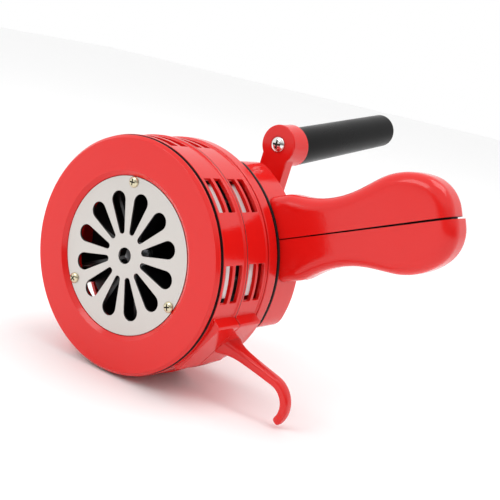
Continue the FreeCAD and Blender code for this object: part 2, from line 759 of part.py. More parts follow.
def hex_nut(name, start, height, flats, bore, x="0"):
    nut = place(new_body(name), x=x)
    reach = "(%s) / (2 * cos(180 / %d))" % (flats, NUT_SIDES)
    corners = [on_circle(reach, str(360 // NUT_SIDES * corner)) for corner in range(NUT_SIDES)]
    pad(nut, name + "_hexagon", [corners, ("0", "0", bore)], start, height)
    return nut


hex_nut("rotor_nut", "rotor_hub_front - washer_thick - nut_height", "nut_height", "nut_flats",
        "shaft_radius")


# Gears: involute teeth with straight roots, thinned by the slack they run with
def gear_outline(teeth):
    """The closed outline of a gear in X and Z, with one tooth centred on +X."""
    pressure = math.radians(size("pressure_angle"))
    pitch = size("gear_module") * teeth / 2
    base = pitch * math.cos(pressure)
    tip = pitch + size("gear_module") * size("gear_addendum")
    root = pitch - size("gear_module") - size("gear_clearance")
    start = max(base, root)
    half = (math.pi * size("gear_module") / 2 - size("tooth_slack")) / (2 * pitch)
    lean = math.tan(pressure) - pressure

    def flank(radius, side, middle):
        roll = math.acos(min(1, base / radius))
        angle = middle + side * (half + lean - (math.tan(roll) - roll))
        return FreeCAD.Vector(radius * math.cos(angle), 0, radius * math.sin(angle))

    def at(radius, angle):
        return FreeCAD.Vector(radius * math.cos(angle), 0, radius * math.sin(angle))

    edges = []
    step = 2 * math.pi / teeth
    foot = half + lean
    for number in range(teeth):
        middle = number * step
        low, high = flank(start, -1, middle), flank(tip, -1, middle)
        if start > root:
            edges.append(Part.LineSegment(at(root, middle - foot), low).toShape())
        edges.append(Part.Arc(low, flank((start + tip) / 2, -1, middle), high).toShape())
        edges.append(Part.Arc(high, at(tip, middle), flank(tip, 1, middle)).toShape())
        low = flank(start, 1, middle)
        edges.append(Part.Arc(flank(tip, 1, middle), flank((start + tip) / 2, 1, middle), low).toShape())
        last = low
        if start > root:
            last = at(root, middle + foot)
            edges.append(Part.LineSegment(low, last).toShape())
        following = middle + step
        bottom_end = at(root, following - foot) if start > root else flank(start, -1, following)
        edges.append(Part.Arc(last, at(root, middle + step / 2), bottom_end).toShape())
    return Part.Wire(edges)


def gear(name, teeth, start, width, bore, x="0", z="0", turn="0 deg"):
    """A spur gear from y = start, bored for its shaft and turned so that its teeth mesh at rest."""
    face = Part.Face(gear_outline(int(size(teeth))))
    blank = face.extrude(FreeCAD.Vector(0, value(width), 0))
    hole = Part.makeCylinder(value(bore), value(width), FreeCAD.Vector(), FreeCAD.Vector(0, 1, 0))
    wheel = doc.addObject("Part::Feature", name)
    wheel.Shape = blank.cut(hole)
    wheel.Label = name
    return place(wheel, x=x, y=start, z=z, turn=turn)


gauge = doc.addObject("Part::Cylinder", "gauge")


def value(text):
    """A formula's value in millimetres, read off a measuring cylinder."""
    bind(gauge, "Height", text)
    gauge.recompute()
    return gauge.Height.Value


to_idler = "atan2(%s; %s - gear_offset)" % (idler_z, idler_x)
to_rotor = "atan2(-(%s); -(%s))" % (idler_z, idler_x)
gear("crank_gear", "crank_teeth", crank_gear_start, "crank_gear_width", "crank_shaft_radius", x="gear_offset",
     turn=to_idler)
gear("idler_pinion", "idler_pinion_teeth", idler_gear_start + " + idler_gear_width",
     "gear_side_gap + crank_gear_width + pinion_overhang", "idler_pin_radius + shaft_slack",
     x=idler_x, z=idler_z, turn=to_idler + " + 180 deg + 180 deg / idler_pinion_teeth")
gear("idler_gear", "idler_teeth", idler_gear_start, "idler_gear_width", "idler_pin_radius + shaft_slack",
     x=idler_x, z=idler_z, turn=to_rotor)
gear("rotor_pinion", "rotor_pinion_teeth", idler_gear_start, "idler_gear_width", "shaft_radius",
     turn=to_rotor + " + 180 deg + 180 deg / rotor_pinion_teeth")

# Idler pin: stands in the flange's web and the housing's floor
pin_end = housing_floor + " + housing_back / 2"
idler_pin = place(new_body("idler_pin"), x=idler_x, z=idler_z)
revolve(idler_pin, "idler_rod", [
    ("drum_end + flange_web", "0"), (pin_end, "0"), (pin_end, "idler_pin_radius"),
    ("drum_end + flange_web", "idler_pin_radius")])

# Crank: a shouldered shaft through the bush, and the arm clamped on it by a nut
arm_start = bush_end + " + crank_bush_lip_thick + arm_gap"
arm_turn = "crank_angle * 1 deg"
crank_shaft = place(new_body("crank_shaft"), x="gear_offset", turn=arm_turn)
shaft_tail = arm_start + " + arm_hub_depth"
revolve(crank_shaft, "crank_axle", [
    (crank_gear_start + " - crank_shoulder_thick", "0"),
    (shaft_tail + " + crank_nut_height + crank_thread_end", "0"),
    (shaft_tail + " + crank_nut_height + crank_thread_end", "crank_shaft_radius"),
    (crank_gear_start, "crank_shaft_radius"), (crank_gear_start, "crank_shoulder_radius"),
    (crank_gear_start + " - crank_shoulder_thick", "crank_shoulder_radius")])

arm_blank = place(new_body("arm_blank"), x="gear_offset", turn=arm_turn)
arm_sides = [("0", "-arm_half_hub"), ("crank_radius", "-arm_half_boss"), ("crank_radius", "arm_half_boss"),
             ("0", "arm_half_hub")]
pad(arm_blank, "arm_web", [arm_sides], arm_start, "arm_thick")
pad(arm_blank, "arm_hub", [("0", "0", "arm_hub_radius")], arm_start, "arm_hub_depth", "-arm_draft")
pad(arm_blank, "arm_boss", [("crank_radius", "0", "arm_boss_radius")],
    arm_start, "arm_boss_depth", "-arm_draft")
pocket(arm_blank, "arm_bore", [("0", "0", "crank_shaft_radius")], arm_start, "arm_hub_depth")

# Knob: turns on a spindle that leans outward from the arm's boss
knob_seat = arm_start + " + arm_boss_depth - arm_spot"


def place_splayed(thing, along="0", turned="0"):
    """Put a piece on the spindle's line, a distance along it from the boss's back face."""
    bind(thing, "Placement", (
        "placement(vector((%(r)s) * cos(stance) + (%(s)s) * cos(stance + crank_angle) - middle_x; "
        "%(y)s - middle_y; (%(r)s) * sin(stance) + (%(s)s) * sin(stance + crank_angle) + rib_radius); "
        "rotation(vector(0; -1; 0); stance + crank_angle) * rotation(vector(0; 0; 1); -knob_splay) "
        "* rotation(vector(1; 0; 0); %(t)s))")
        % {"r": "gear_offset", "s": "crank_radius - spindle_drop + (%s) * sin(knob_splay)" % along,
           "y": "%s + (%s) * cos(knob_splay)" % (knob_seat, along), "t": turned})
    return thing


def splayed_rod(name, radius, start, length):
    """A round rod along the knob's line."""
    rod = doc.addObject("Part::Cylinder", name)
    bind(rod, "Radius", radius)
    bind(rod, "Height", length)
    return place_splayed(rod, start, "-90")


boss_x, boss_z = "gear_offset + crank_radius * cos(crank_angle)", "crank_radius * sin(crank_angle)"


def straight_rod(name, radius, start, length):
    """A round rod along +Y through the middle of the arm's boss."""
    rod = doc.addObject("Part::Cylinder", name)
    bind(rod, "Radius", radius)
    bind(rod, "Height", length)
    bind(rod, "Placement", (
        "placement(vector((%(x)s) * cos(stance) - (%(z)s) * sin(stance) - middle_x; %(y)s - middle_y; "
        "(%(x)s) * sin(stance) + (%(z)s) * cos(stance) + rib_radius); rotation(vector(1; 0; 0); -90))")
        % {"x": boss_x, "z": boss_z, "y": start})
    return rod


screw_seat = arm_start + " + crank_screw_sink"
cutters = [splayed_rod("boss_spot_face", "2 * arm_boss_radius", "0", "arm_boss_depth"),
           splayed_rod("spindle_mouth", "spindle_radius + hole_slack", "-spindle_bend", "2 * spindle_bend"),
           straight_rod("spindle_socket", "spindle_radius", knob_seat + " - spindle_insert",
                        "2 * spindle_insert"),
           straight_rod("screw_passage", "crank_screw_shank + hole_slack", arm_start, "arm_boss_depth"),
           straight_rod("screw_room", "crank_screw_radius + crank_screw_room", arm_start,
                        "crank_screw_sink")]
arm_cuts = doc.addObject("Part::MultiFuse", "arm_cuts")
arm_cuts.Shapes = cutters
crank_arm = doc.addObject("Part::Cut", "crank_arm")
crank_arm.Base = arm_blank
crank_arm.Tool = arm_cuts
crank_arm.Label = "crank_arm"

hex_nut("crank_nut", shaft_tail, "crank_nut_height", "crank_nut_flats", "crank_shaft_radius", x="gear_offset")

# The spindle is bent: a straight foot in the boss, tapped for the screw, and a rod along the knob
spindle_end = "knob_gap + knob_length - knob_end_depth + knob_slack"
foot_start = knob_seat + " - spindle_insert"
spindle_parts = [
    splayed_rod("spindle_rod", "spindle_radius", "-spindle_bend", "%s + spindle_bend" % spindle_end),
    splayed_rod("spindle_head", "spindle_head_radius", spindle_end, "spindle_head_height"),
    straight_rod("spindle_foot", "spindle_radius", foot_start, "spindle_insert - spindle_short")]
spindle_blank = doc.addObject("Part::MultiFuse", "spindle_blank")
spindle_blank.Shapes = spindle_parts
spindle = doc.addObject("Part::Cut", "knob_spindle")
spindle.Base = spindle_blank
spindle.Tool = straight_rod("spindle_thread", "crank_screw_shank", foot_start,
                            "%s + crank_screw_length - (%s)" % (screw_seat, foot_start))
spindle.Label = "knob_spindle"

spindle_screw = place(new_body("spindle_screw"), x=boss_x, z=boss_z)
screw_tip = screw_seat + " + crank_screw_length"
screw_top = screw_seat + " - crank_screw_height"
revolve(spindle_screw, "spindle_screw_rod", [
    (screw_top, "0"), (screw_tip, "0"), (screw_tip, "crank_screw_shank"),
    (screw_seat, "crank_screw_shank"), (screw_seat, "crank_screw_radius"),
    (screw_top + " + crank_screw_height / 2", "crank_screw_radius"),
    (screw_top, "crank_screw_radius / 2")])

knob_end = "knob_gap + knob_length"
knob_step = knob_end + " - knob_end_depth"
knob = place_splayed(new_body("knob_sleeve"))
revolve(knob, "knob_tube", [
    ("knob_gap", "spindle_radius + knob_slack"), (knob_step, "spindle_radius + knob_slack"),
    (knob_step, "knob_end_bore"), (knob_end, "knob_end_bore"),
    (knob_end, "knob_far_radius - knob_edge"), (knob_end + " - knob_edge", "knob_far_radius"),
    ("knob_gap + knob_edge", "knob_radius"), ("knob_gap", "knob_radius - knob_edge")])
knob_plug = place_splayed(new_body("knob_cap"))
revolve(knob_plug, "knob_disc", [
    (knob_end + " - knob_cap", "0"), (knob_end, "0"), (knob_end, "knob_end_bore"),
    (knob_end + " - knob_cap", "knob_end_bore")])

# Handle: two half shells that meet on the plane of the drum's axis and clamp the housing's lug
handle_back = "handle_front + handle_depth"


def half_shell(name, side, seam_near, seam_far, rise="0", short="0"):
    """One half of the handle: the outline on its side of the seam, rounded, then hollowed."""
    shell = place(new_body(name))

    def out(text):
        return text if side > 0 else "-(%s)" % text

    root = "housing_neck - housing_wall"
    stations = [("base", "base_end - " + short, "base_half + " + rise, "base_round"),
                ("waist", "waist_at - " + short, "waist_corner + " + rise, "waist_round"),
                ("bulb", "bulb_at - " + short, "bulb_corner + " + rise, "bulb_round"),
                ("end", "end_at - " + short, "end_corner + " + rise, "end_round")]
    corners = ([(root, out(seam_near)), (root, out("base_half + " + rise))]
               + [(x, out(z)) for spot, x, z, radius in stations]
               + [("end_at - " + short, out(seam_far))])
    pad(shell, name + "_block", [corners], "handle_front", "handle_depth")
    for spot, x, z, radius in stations:
        spot_x, spot_z = value(x), value(z)
        dress(shell, name + "_" + spot, "PartDesign::Fillet",
              lambda edge: edge.BoundBox.YLength > NEAR and abs(edge.CenterOfMass.x - spot_x) < NEAR
              and abs(abs(edge.CenterOfMass.z) - spot_z) < NEAR, radius)
    seam = value(seam_far) + NEAR
    foot = value(root) + NEAR
    dress(shell, name + "_edge", "PartDesign::Fillet",
          lambda edge: edge.BoundBox.YLength < NEAR and edge.BoundBox.XMax > foot
          and max(abs(edge.BoundBox.ZMin), abs(edge.BoundBox.ZMax)) > seam, "handle_edge")
    pocket(shell, name + "_saddle", [("0", "0", "housing_radius + handle_gap")],
           "handle_front", "handle_depth")
    pocket(shell, name + "_lug_room",
           [rectangle(root, "0", "lug_end + handle_gap", out("lug_half"))],
           "%s - lug_thick / 2 - hole_slack" % lug_middle, "lug_thick + 2 * hole_slack")
    for spot, start, end, reach in (("near", "lug_end + handle_shell", "handle_screw_second", "near_cavity"),
                                    ("far", "handle_screw_second + 2 * handle_rib", "handle_screw_third",
                                     "far_cavity")):
        pocket(shell, "%s_%s_cavity" % (name, spot),
               [rectangle(start, "0", end + " - handle_rib", out(reach))],
               "handle_front + handle_shell", "handle_depth - 2 * handle_shell")
    return shell


def drill(body, name, radius, start, depth, up):
    """Holes along Z for the handle's screws, from z = start."""
    circles = [(x, lug_middle, radius) for x in handle_screw_places]
    sketch = draw(body, name + "_outline", "XY_Plane", circles)
    bind(sketch, "AttachmentOffset.Base.z", start)
    cut = body.newObject("PartDesign::Pocket", name)
    cut.Profile = sketch
    cut.Reversed = up
    bind(cut, "Length", depth)
    return cut


handle_screw_places = ["handle_screw_first", "handle_screw_second", "handle_screw_third"]
upper_shell = half_shell("handle_upper_shell", 1, "seam_root", "seam_end", "upper_rise", "upper_short")
drill(upper_shell, "upper_tapped_holes", "handle_screw_radius + hole_slack", "0", "handle_screw_grip", True)
lower_shell = half_shell("handle_lower_shell", -1, "handle_seam / 2", "handle_seam / 2")
drill(lower_shell, "lower_screw_holes", "handle_screw_radius + hole_slack", "0", "2 * base_half", False)
drill(lower_shell, "lower_head_holes", "handle_head_radius + 2 * hole_slack", "-handle_screw_seat",
      "base_half", False)
handle_screw_places = ["handle_screw_first"]
drill(housing, "lug_hole", "handle_screw_radius + hole_slack", "lug_half", "2 * lug_half", False)

handle_screw_group = []
for number, x in enumerate(["handle_screw_first", "handle_screw_second", "handle_screw_third"]):
    parts = []
    for tag, radius, low, length in (
            ("head", "handle_head_radius", "-handle_screw_seat - handle_head_height", "handle_head_height"),
            ("shank", "handle_screw_radius", "-handle_screw_seat",
             "handle_screw_seat + handle_screw_grip - handle_screw_room")):
        rod = doc.addObject("Part::Cylinder", "handle_screw_%s_%d" % (tag, number))
        bind(rod, "Radius", radius)
        bind(rod, "Height", length)
        bind(rod, "Placement.Base.x", x)
        bind(rod, "Placement.Base.y", lug_middle)
        bind(rod, "Placement.Base.z", low)
        parts.append(rod)
    fused = doc.addObject("Part::MultiFuse", "handle_screw_%d" % number)
    fused.Shapes = parts
    handle_screw_group.append(fused)
handle_screws = doc.addObject("Part::Compound", "handle_screws")
handle_screws.Links = handle_screw_group
handle_screws.Label = "handle_screws"
place(handle_screws)

# Every piece that is kept, then the checks and the files
NODES = ["front_cover", "grille_plate", "grille_screws", "front_casing", "rear_casing", "rear_flange",
         "flange_screws", "front_bearing", "rear_bearing", "gear_housing", "housing_screws", "crank_bush",
         "idler_pin", "handle_upper_shell", "handle_lower_shell", "handle_screws",
         "rotor_shaft", "rotor_wheel", "rotor_washer", "rotor_nut", "rotor_pinion",
         "idler_gear", "idler_pinion",
         "crank_shaft", "crank_gear", "crank_arm", "crank_nut", "knob_spindle", "spindle_screw",
         "knob_sleeve", "knob_cap"]
doc.recompute()
failed = [thing.Name for thing in doc.Objects if "Invalid" in thing.State or "Error" in thing.State]
if failed:
    raise RuntimeError("failed objects: %s" % failed)
for label in NODES:
    shape = doc.getObjectsByLabel(label)[0].Shape
    if shape.isNull() or not shape.isValid() or not shape.Solids:
        raise RuntimeError("bad shape: %s" % label)

os.makedirs("parts", exist_ok=True)
for label in NODES:
    doc.getObjectsByLabel(label)[0].Shape.exportStep("parts/%s.step" % label)
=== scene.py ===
import json
import math

import bmesh
import bpy
from mathutils import Matrix, Vector


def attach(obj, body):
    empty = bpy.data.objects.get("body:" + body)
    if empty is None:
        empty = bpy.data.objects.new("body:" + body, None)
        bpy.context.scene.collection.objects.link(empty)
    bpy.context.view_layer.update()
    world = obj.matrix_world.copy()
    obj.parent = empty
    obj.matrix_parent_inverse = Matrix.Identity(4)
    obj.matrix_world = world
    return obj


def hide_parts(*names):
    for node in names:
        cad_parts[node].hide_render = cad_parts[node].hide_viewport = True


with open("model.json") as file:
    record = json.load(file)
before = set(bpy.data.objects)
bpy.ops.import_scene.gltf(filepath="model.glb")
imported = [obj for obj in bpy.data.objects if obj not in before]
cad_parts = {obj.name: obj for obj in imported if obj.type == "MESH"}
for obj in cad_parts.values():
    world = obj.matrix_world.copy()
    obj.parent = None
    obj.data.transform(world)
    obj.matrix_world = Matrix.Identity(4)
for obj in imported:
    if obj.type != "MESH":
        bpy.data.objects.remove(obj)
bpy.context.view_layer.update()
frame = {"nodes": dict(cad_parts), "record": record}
nodes = frame["nodes"]

# Camera: a short telephoto on a stand, level with the drum and to its right. It is rolled, because
# the siren was held with its handle lower than where the table leaves it.
# Pieces are drawn in millimetres about the drum's axis (along +Y, handle towards +X), then stood up.
MM = 0.001
STANCE = math.radians(21.9103)
HELD = math.radians(7.2)
AXIS = Vector((-0.04185, -0.09196, 0.0602))
siren = Matrix.Translation(AXIS) @ Matrix.Rotation(-STANCE, 4, "Y")
held = Matrix.Translation(AXIS) @ Matrix.Rotation(HELD - STANCE, 4, "Y")
camera_data = bpy.data.cameras.new("photo_camera")
camera_data.lens = 72
camera_data.sensor_width = 36
camera_data.clip_start = 0.01
camera = bpy.data.objects.new("photo_camera", camera_data)
bpy.context.scene.collection.objects.link(camera)
azimuth, elevation = math.radians(35.30), math.radians(2.816)
back = Vector((math.sin(azimuth) * math.cos(elevation), -math.cos(azimuth) * math.cos(elevation),
               math.sin(elevation)))
right = Vector((math.cos(azimuth), math.sin(azimuth), 0))
pose = Matrix((right, back.cross(right), back)).transposed().to_4x4()
pose.translation = Vector((332.51, -361.55, 26.86)) * MM
camera.matrix_world = held @ pose
bpy.context.scene.camera = camera

# Studio: a white table inside a light tent that is open towards the darker room in front and to
# the right, with two large soft boxes above. The stage is no part of the siren.
floor_mesh = bpy.data.meshes.new("floor")
floor_mesh.from_pydata([(-4, -4, 0), (4, -4, 0), (4, 4, 0), (-4, 4, 0)], [], [(0, 1, 2, 3)])
floor = bpy.data.objects.new("floor", floor_mesh)
bpy.context.scene.collection.objects.link(floor)
floor_paint = bpy.data.materials.new("floor_white")
floor_paint.use_nodes = True
floor_shader = floor_paint.node_tree.nodes["Principled BSDF"]
floor_shader.inputs["Base Color"].default_value = (0.98, 0.98, 0.98, 1)
floor_shader.inputs["Roughness"].default_value = 0.7
floor_mesh.materials.append(floor_paint)


def remapped(tree, value, start, end, low=0.0, high=1.0, smooth=False):
    """A map range node that takes value from start..end to low..high."""
    node = tree.nodes.new("ShaderNodeMapRange")
    if smooth:
        node.interpolation_type = "SMOOTHSTEP"
    for label, limit in (("From Min", start), ("From Max", end), ("To Min", low), ("To Max", high)):
        node.inputs[label].default_value = limit
    tree.links.new(value, node.inputs["Value"])
    return node


world = bpy.data.worlds.new("light_tent")
bpy.context.scene.world = world
world.use_nodes = True
tent = world.node_tree
direction = tent.nodes.new("ShaderNodeTexCoord")
towards_room = tent.nodes.new("ShaderNodeVectorMath")
towards_room.operation = "DOT_PRODUCT"
towards_room.inputs[1].default_value = (0.72, -0.69, 0.05)
height = tent.nodes.new("ShaderNodeSeparateXYZ")
level = tent.nodes.new("ShaderNodeMath")
level.operation = "ABSOLUTE"
dark = tent.nodes.new("ShaderNodeMath")
dark.operation = "MULTIPLY"
tent.links.new(direction.outputs["Generated"], towards_room.inputs[0])
tent.links.new(direction.outputs["Generated"], height.inputs["Vector"])
tent.links.new(height.outputs["Z"], level.inputs[0])
opening = remapped(tent, towards_room.outputs["Value"], 0.15, 0.75, smooth=True)
band = remapped(tent, level.outputs["Value"], 0.2, 0.6, 1, 0, smooth=True)
tent.links.new(opening.outputs["Result"], dark.inputs[0])
tent.links.new(band.outputs["Result"], dark.inputs[1])
walls = remapped(tent, dark.outputs["Value"], 0, 1, 1.0, 0.22)
tent.links.new(walls.outputs["Result"], tent.nodes["Background"].inputs["Strength"])
tent.nodes["Background"].inputs["Color"].default_value = (1, 1, 1, 1)
bpy.context.scene.view_settings.view_transform = "Standard"


def soft_box(name, place, aim, width, watts):
    lamp = bpy.data.lights.new(name, "AREA")
    lamp.shape = "SQUARE"
    lamp.size = width
    lamp.energy = watts
    box = bpy.data.objects.new(name, lamp)
    bpy.context.scene.collection.objects.link(box)
    box.location = place
    box.rotation_euler = (Vector(aim) - Vector(place)).to_track_quat("-Z", "Y").to_euler()
    return box


soft_box("key_box", (-0.5, -1.1, 1.0), (0, 0, 0.06), 0.7, 4)
soft_box("top_box", (0.3, 0.2, 1.3), (0, 0, 0.06), 0.8, 5)


# Front cover: a die-cast aluminium ring with a stepped seat for the grille, sprayed with gloss red
# enamel and stoved. It is pushed onto the front drum casting's neck; its outer edges are rounded.
def surface_group(name, builder, inputs, outputs):
    """A node group with plain named sockets. builder wires it from its tree, start and end nodes."""
    tree = bpy.data.node_groups.new(name, "ShaderNodeTree")
    for label, value in inputs:
        socket = tree.interface.new_socket(name=label, in_out="INPUT", socket_type="NodeSocketFloat")
        socket.default_value = value
    for label, kind in outputs:
        tree.interface.new_socket(name=label, in_out="OUTPUT", socket_type=kind)
    builder(tree, tree.nodes.new("NodeGroupInput"), tree.nodes.new("NodeGroupOutput"))
    return tree


def paint_film(tree, given, result):
    """Sprayed enamel's faint waviness, and the fine dust and wipe marks that dull its gloss."""
    place = tree.nodes.new("ShaderNodeTexCoord")
    waves = tree.nodes.new("ShaderNodeTexNoise")
    waves.inputs["Detail"].default_value = 1.5
    marks = tree.nodes.new("ShaderNodeTexNoise")
    marks.inputs["Scale"].default_value = 45
    marks.inputs["Detail"].default_value = 5
    tree.links.new(place.outputs["Object"], waves.inputs["Vector"])
    tree.links.new(given.outputs["Wave Scale"], waves.inputs["Scale"])
    tree.links.new(place.outputs["Object"], marks.inputs["Vector"])
    spread = remapped(tree, marks.outputs["Fac"], 0.35, 0.75)
    gloss = remapped(tree, spread.outputs["Result"], 0, 1)
    tree.links.new(given.outputs["Clean Roughness"], gloss.inputs["To Min"])
    tree.links.new(given.outputs["Dull Roughness"], gloss.inputs["To Max"])
    tree.links.new(waves.outputs["Fac"], result.inputs["Height"])
    tree.links.new(gloss.outputs["Result"], result.inputs["Roughness"])


film_group = surface_group("paint_film", paint_film,
                           [("Wave Scale", 900), ("Clean Roughness", 0.2), ("Dull Roughness", 0.3)],
                           [("Height", "NodeSocketFloat"), ("Roughness", "NodeSocketFloat")])


def surfaced(name, colour, group, settings, height):
    """A material of one colour whose roughness and fine bump come from a surface group."""
    material = bpy.data.materials.new(name)
    material.use_nodes = True
    tree = material.node_tree
    shader = tree.nodes["Principled BSDF"]
    shader.inputs["Base Color"].default_value = (*colour, 1)
    surface = tree.nodes.new("ShaderNodeGroup")
    surface.node_tree = group
    for label, value in settings.items():
        surface.inputs[label].default_value = value
    bump = tree.nodes.new("ShaderNodeBump")
    bump.inputs["Distance"].default_value = height
    tree.links.new(surface.outputs["Height"], bump.inputs["Height"])
    tree.links.new(surface.outputs["Roughness"], shader.inputs["Roughness"])
    tree.links.new(bump.outputs["Normal"], shader.inputs["Normal"])
    return material


def painted(name, colour, clean, dull, wave=900, height=0.00004):
    """A sprayed or moulded finish: one colour, a faint wave in the film and slightly uneven gloss."""
    settings = {"Wave Scale": wave, "Clean Roughness": clean, "Dull Roughness": dull}
    return surfaced(name, colour, film_group, settings, height)


enamel = painted("red_enamel", (0.74, 0.009, 0.007), 0.13, 0.18)
# A near-black paint for faces in gaps, grooves, seams and cut pockets: painted shade where parts meet and
# hollows fall dark.
shade_paint = painted("shade_paint", (0.012, 0.010, 0.010), 0.5, 0.7)


def rounded(corners, step=12):
    """A closed outline from corners (across, up, radius), each drawn as an arc of its radius."""
    outline = []
    for index, (across, up, radius) in enumerate(corners):
        here = Vector((across, up))
        before = (Vector(corners[index - 1][:2]) - here).normalized()
        after = (Vector(corners[(index + 1) % len(corners)][:2]) - here).normalized()
        inside = before.angle(after)
        bend = math.pi - inside
        if radius == 0 or bend < 0.01:
            outline.append(here)
            continue
        start = before * radius / math.tan(inside / 2)
        middle = (before + after).normalized() * radius / math.sin(inside / 2)
        spoke = start - middle
        turn = bend * math.copysign(1, before.cross(after)) * -1
        count = max(2, math.ceil(math.degrees(bend) / step))
        for number in range(count + 1):
            outline.append(here + middle + Matrix.Rotation(turn * number / count, 2) @ spoke)
    return outline


def meshed(name, form):
    """The form as a mesh."""
    mesh = bpy.data.meshes.new(name)
    form.to_mesh(mesh)
    form.free()
    return mesh


def turned(name, outline, steps=180, middle=(0, 0)):
    """A piece turned about a line along Y through middle, from a closed outline of (y, radius)."""
    form = bmesh.new()
    rings = []
    for number in range(steps):
        angle = 2 * math.pi * number / steps
        across, up = math.cos(angle), math.sin(angle)
        rings.append([form.verts.new((middle[0] + r * across, y, middle[1] + r * up)) for y, r in outline])
    count = len(outline)
    for number in range(steps):
        here, beside = rings[number], rings[(number + 1) % steps]
        for spot in range(count):
            following = (spot + 1) % count
            if max(outline[spot][1], outline[following][1]) > 1e-6:
                form.faces.new((here[spot], here[following], beside[following], beside[spot]))
    bmesh.ops.remove_doubles(form, verts=form.verts, dist=1e-5)
    bmesh.ops.recalc_face_normals(form, faces=form.faces)
    return meshed(name, form)


def finished(name, meshes, material, body, replaced, crease=32, second=None):
    """Join meshes drawn in millimetres into one piece, stood up in the row frame."""
    form = bmesh.new()
    for mesh in meshes:
        form.from_mesh(mesh)
    joined = meshed(name, form)
    joined.transform(siren @ Matrix.Scale(MM, 4))
    joined.shade_smooth()
    joined.set_sharp_from_angle(angle=math.radians(crease))
    joined.materials.append(material)
    if second:
        joined.materials.append(second)
    piece = bpy.data.objects.new(name, joined)
    bpy.context.scene.collection.objects.link(piece)
    weights = piece.modifiers.new("even_shading", "WEIGHTED_NORMAL")
    weights.keep_sharp = True
    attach(piece, body)
    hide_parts(*replaced)
    return piece


RING, SEAT, NECK, NECK_INSIDE = 59, 39.6, 57.3, 55.8
cover_outline = rounded([
    (0, SEAT + 2.3, 0.5), (0, RING - 1.5, 0.5), (1.5, RING, 0.5), (2, RING, 0.2), (2, NECK, 0),
    (0.8, NECK, 0), (0.8, NECK_INSIDE, 0), (2, NECK_INSIDE, 0), (2, 47.6, 0.3), (6, 47.6, 0.4),
    (6, 33.5, 0.4), (2.8, 33.5, 0.2), (2.8, SEAT, 0), (1.8, SEAT, 0.4)])
finished("enamelled_cover", [turned("cover", cover_outline)], enamel, "body", ["front_cover"])


# Grille plate: 1 mm stainless sheet, punched with twelve petals and a middle hole, brushed across.
# It drops into the cover's seat and three screws hold it.
def circle(radius, steps=96, middle=(0, 0)):
    return [Vector((middle[0] + radius * math.cos(2 * math.pi * n / steps),
                    middle[1] + radius * math.sin(2 * math.pi * n / steps))) for n in range(steps)]


def spun(outline, angle):
    """An outline turned about the origin, by degrees."""
    return [Matrix.Rotation(math.radians(angle), 2) @ point for point in outline]


def plate(name, outlines, start, depth, edge=0.0):
    """A flat plate in X and Z from y = start: the first outline is its rim and the rest are holes."""
    curve = bpy.data.curves.new(name, "CURVE")
    curve.dimensions = "2D"
    curve.fill_mode = "BOTH"
    curve.extrude = depth / 2 - edge
    curve.bevel_depth = edge
    curve.bevel_resolution = 3 if edge > 0.3 else 1
    curve.offset = -edge
    for outline in outlines:
        line = curve.splines.new("POLY")
        line.points.add(len(outline) - 1)
        for point, (across, up) in zip(line.points, outline):
            point.co = (across, up, 0, 1)
        line.use_cyclic_u = True
    holder = bpy.data.objects.new(name, curve)
    bpy.context.scene.collection.objects.link(holder)
    graph = bpy.context.evaluated_depsgraph_get()
    mesh = bpy.data.meshes.new_from_object(holder.evaluated_get(graph))
    bpy.data.objects.remove(holder)
    mesh.materials.clear()
    mesh.transform(Matrix.Translation((0, start + depth / 2, 0)) @ Matrix.Rotation(math.pi / 2, 4, "X"))
    form = bmesh.new()
    form.from_mesh(mesh)
    bmesh.ops.remove_doubles(form, verts=form.verts, dist=1e-4)
    bmesh.ops.recalc_face_normals(form, faces=form.faces)
    form.to_mesh(mesh)
    form.free()
    return mesh


def brushed(tree, given, result):
    """The fine straight scratches of a brushing belt, and the sheet's slight unevenness."""
    place = tree.nodes.new("ShaderNodeTexCoord")
    stretch = tree.nodes.new("ShaderNodeMapping")
    stretch.inputs["Scale"].default_value = (60, 60, 6000)
    stretch.inputs["Rotation"].default_value = (0, 0.6, 0)
    lines = tree.nodes.new("ShaderNodeTexNoise")
    lines.inputs["Scale"].default_value = 1
    lines.inputs["Detail"].default_value = 3
    cloud = tree.nodes.new("ShaderNodeTexNoise")
    cloud.inputs["Scale"].default_value = 30
    tree.links.new(place.outputs["Object"], stretch.inputs["Vector"])
    tree.links.new(stretch.outputs["Vector"], lines.inputs["Vector"])
    tree.links.new(place.outputs["Object"], cloud.inputs["Vector"])
    rough = remapped(tree, cloud.outputs["Fac"], 0, 1)
    tree.links.new(given.outputs["Smooth"], rough.inputs["To Min"])
    tree.links.new(given.outputs["Rough"], rough.inputs["To Max"])
    tree.links.new(lines.outputs["Fac"], result.inputs["Height"])
    tree.links.new(rough.outputs["Result"], result.inputs["Roughness"])


brushed_group = surface_group("brushed_sheet", brushed, [("Smooth", 0.25), ("Rough", 0.45)],
                              [("Height", "NodeSocketFloat"), ("Roughness", "NodeSocketFloat")])


def metal(name, colour, smooth, rough, height=0.00001):
    """Bare or plated metal with fine working marks."""
    material = surfaced(name, colour, brushed_group, {"Smooth": smooth, "Rough": rough}, height)
    material.node_tree.nodes["Principled BSDF"].inputs["Metallic"].default_value = 1
    return material


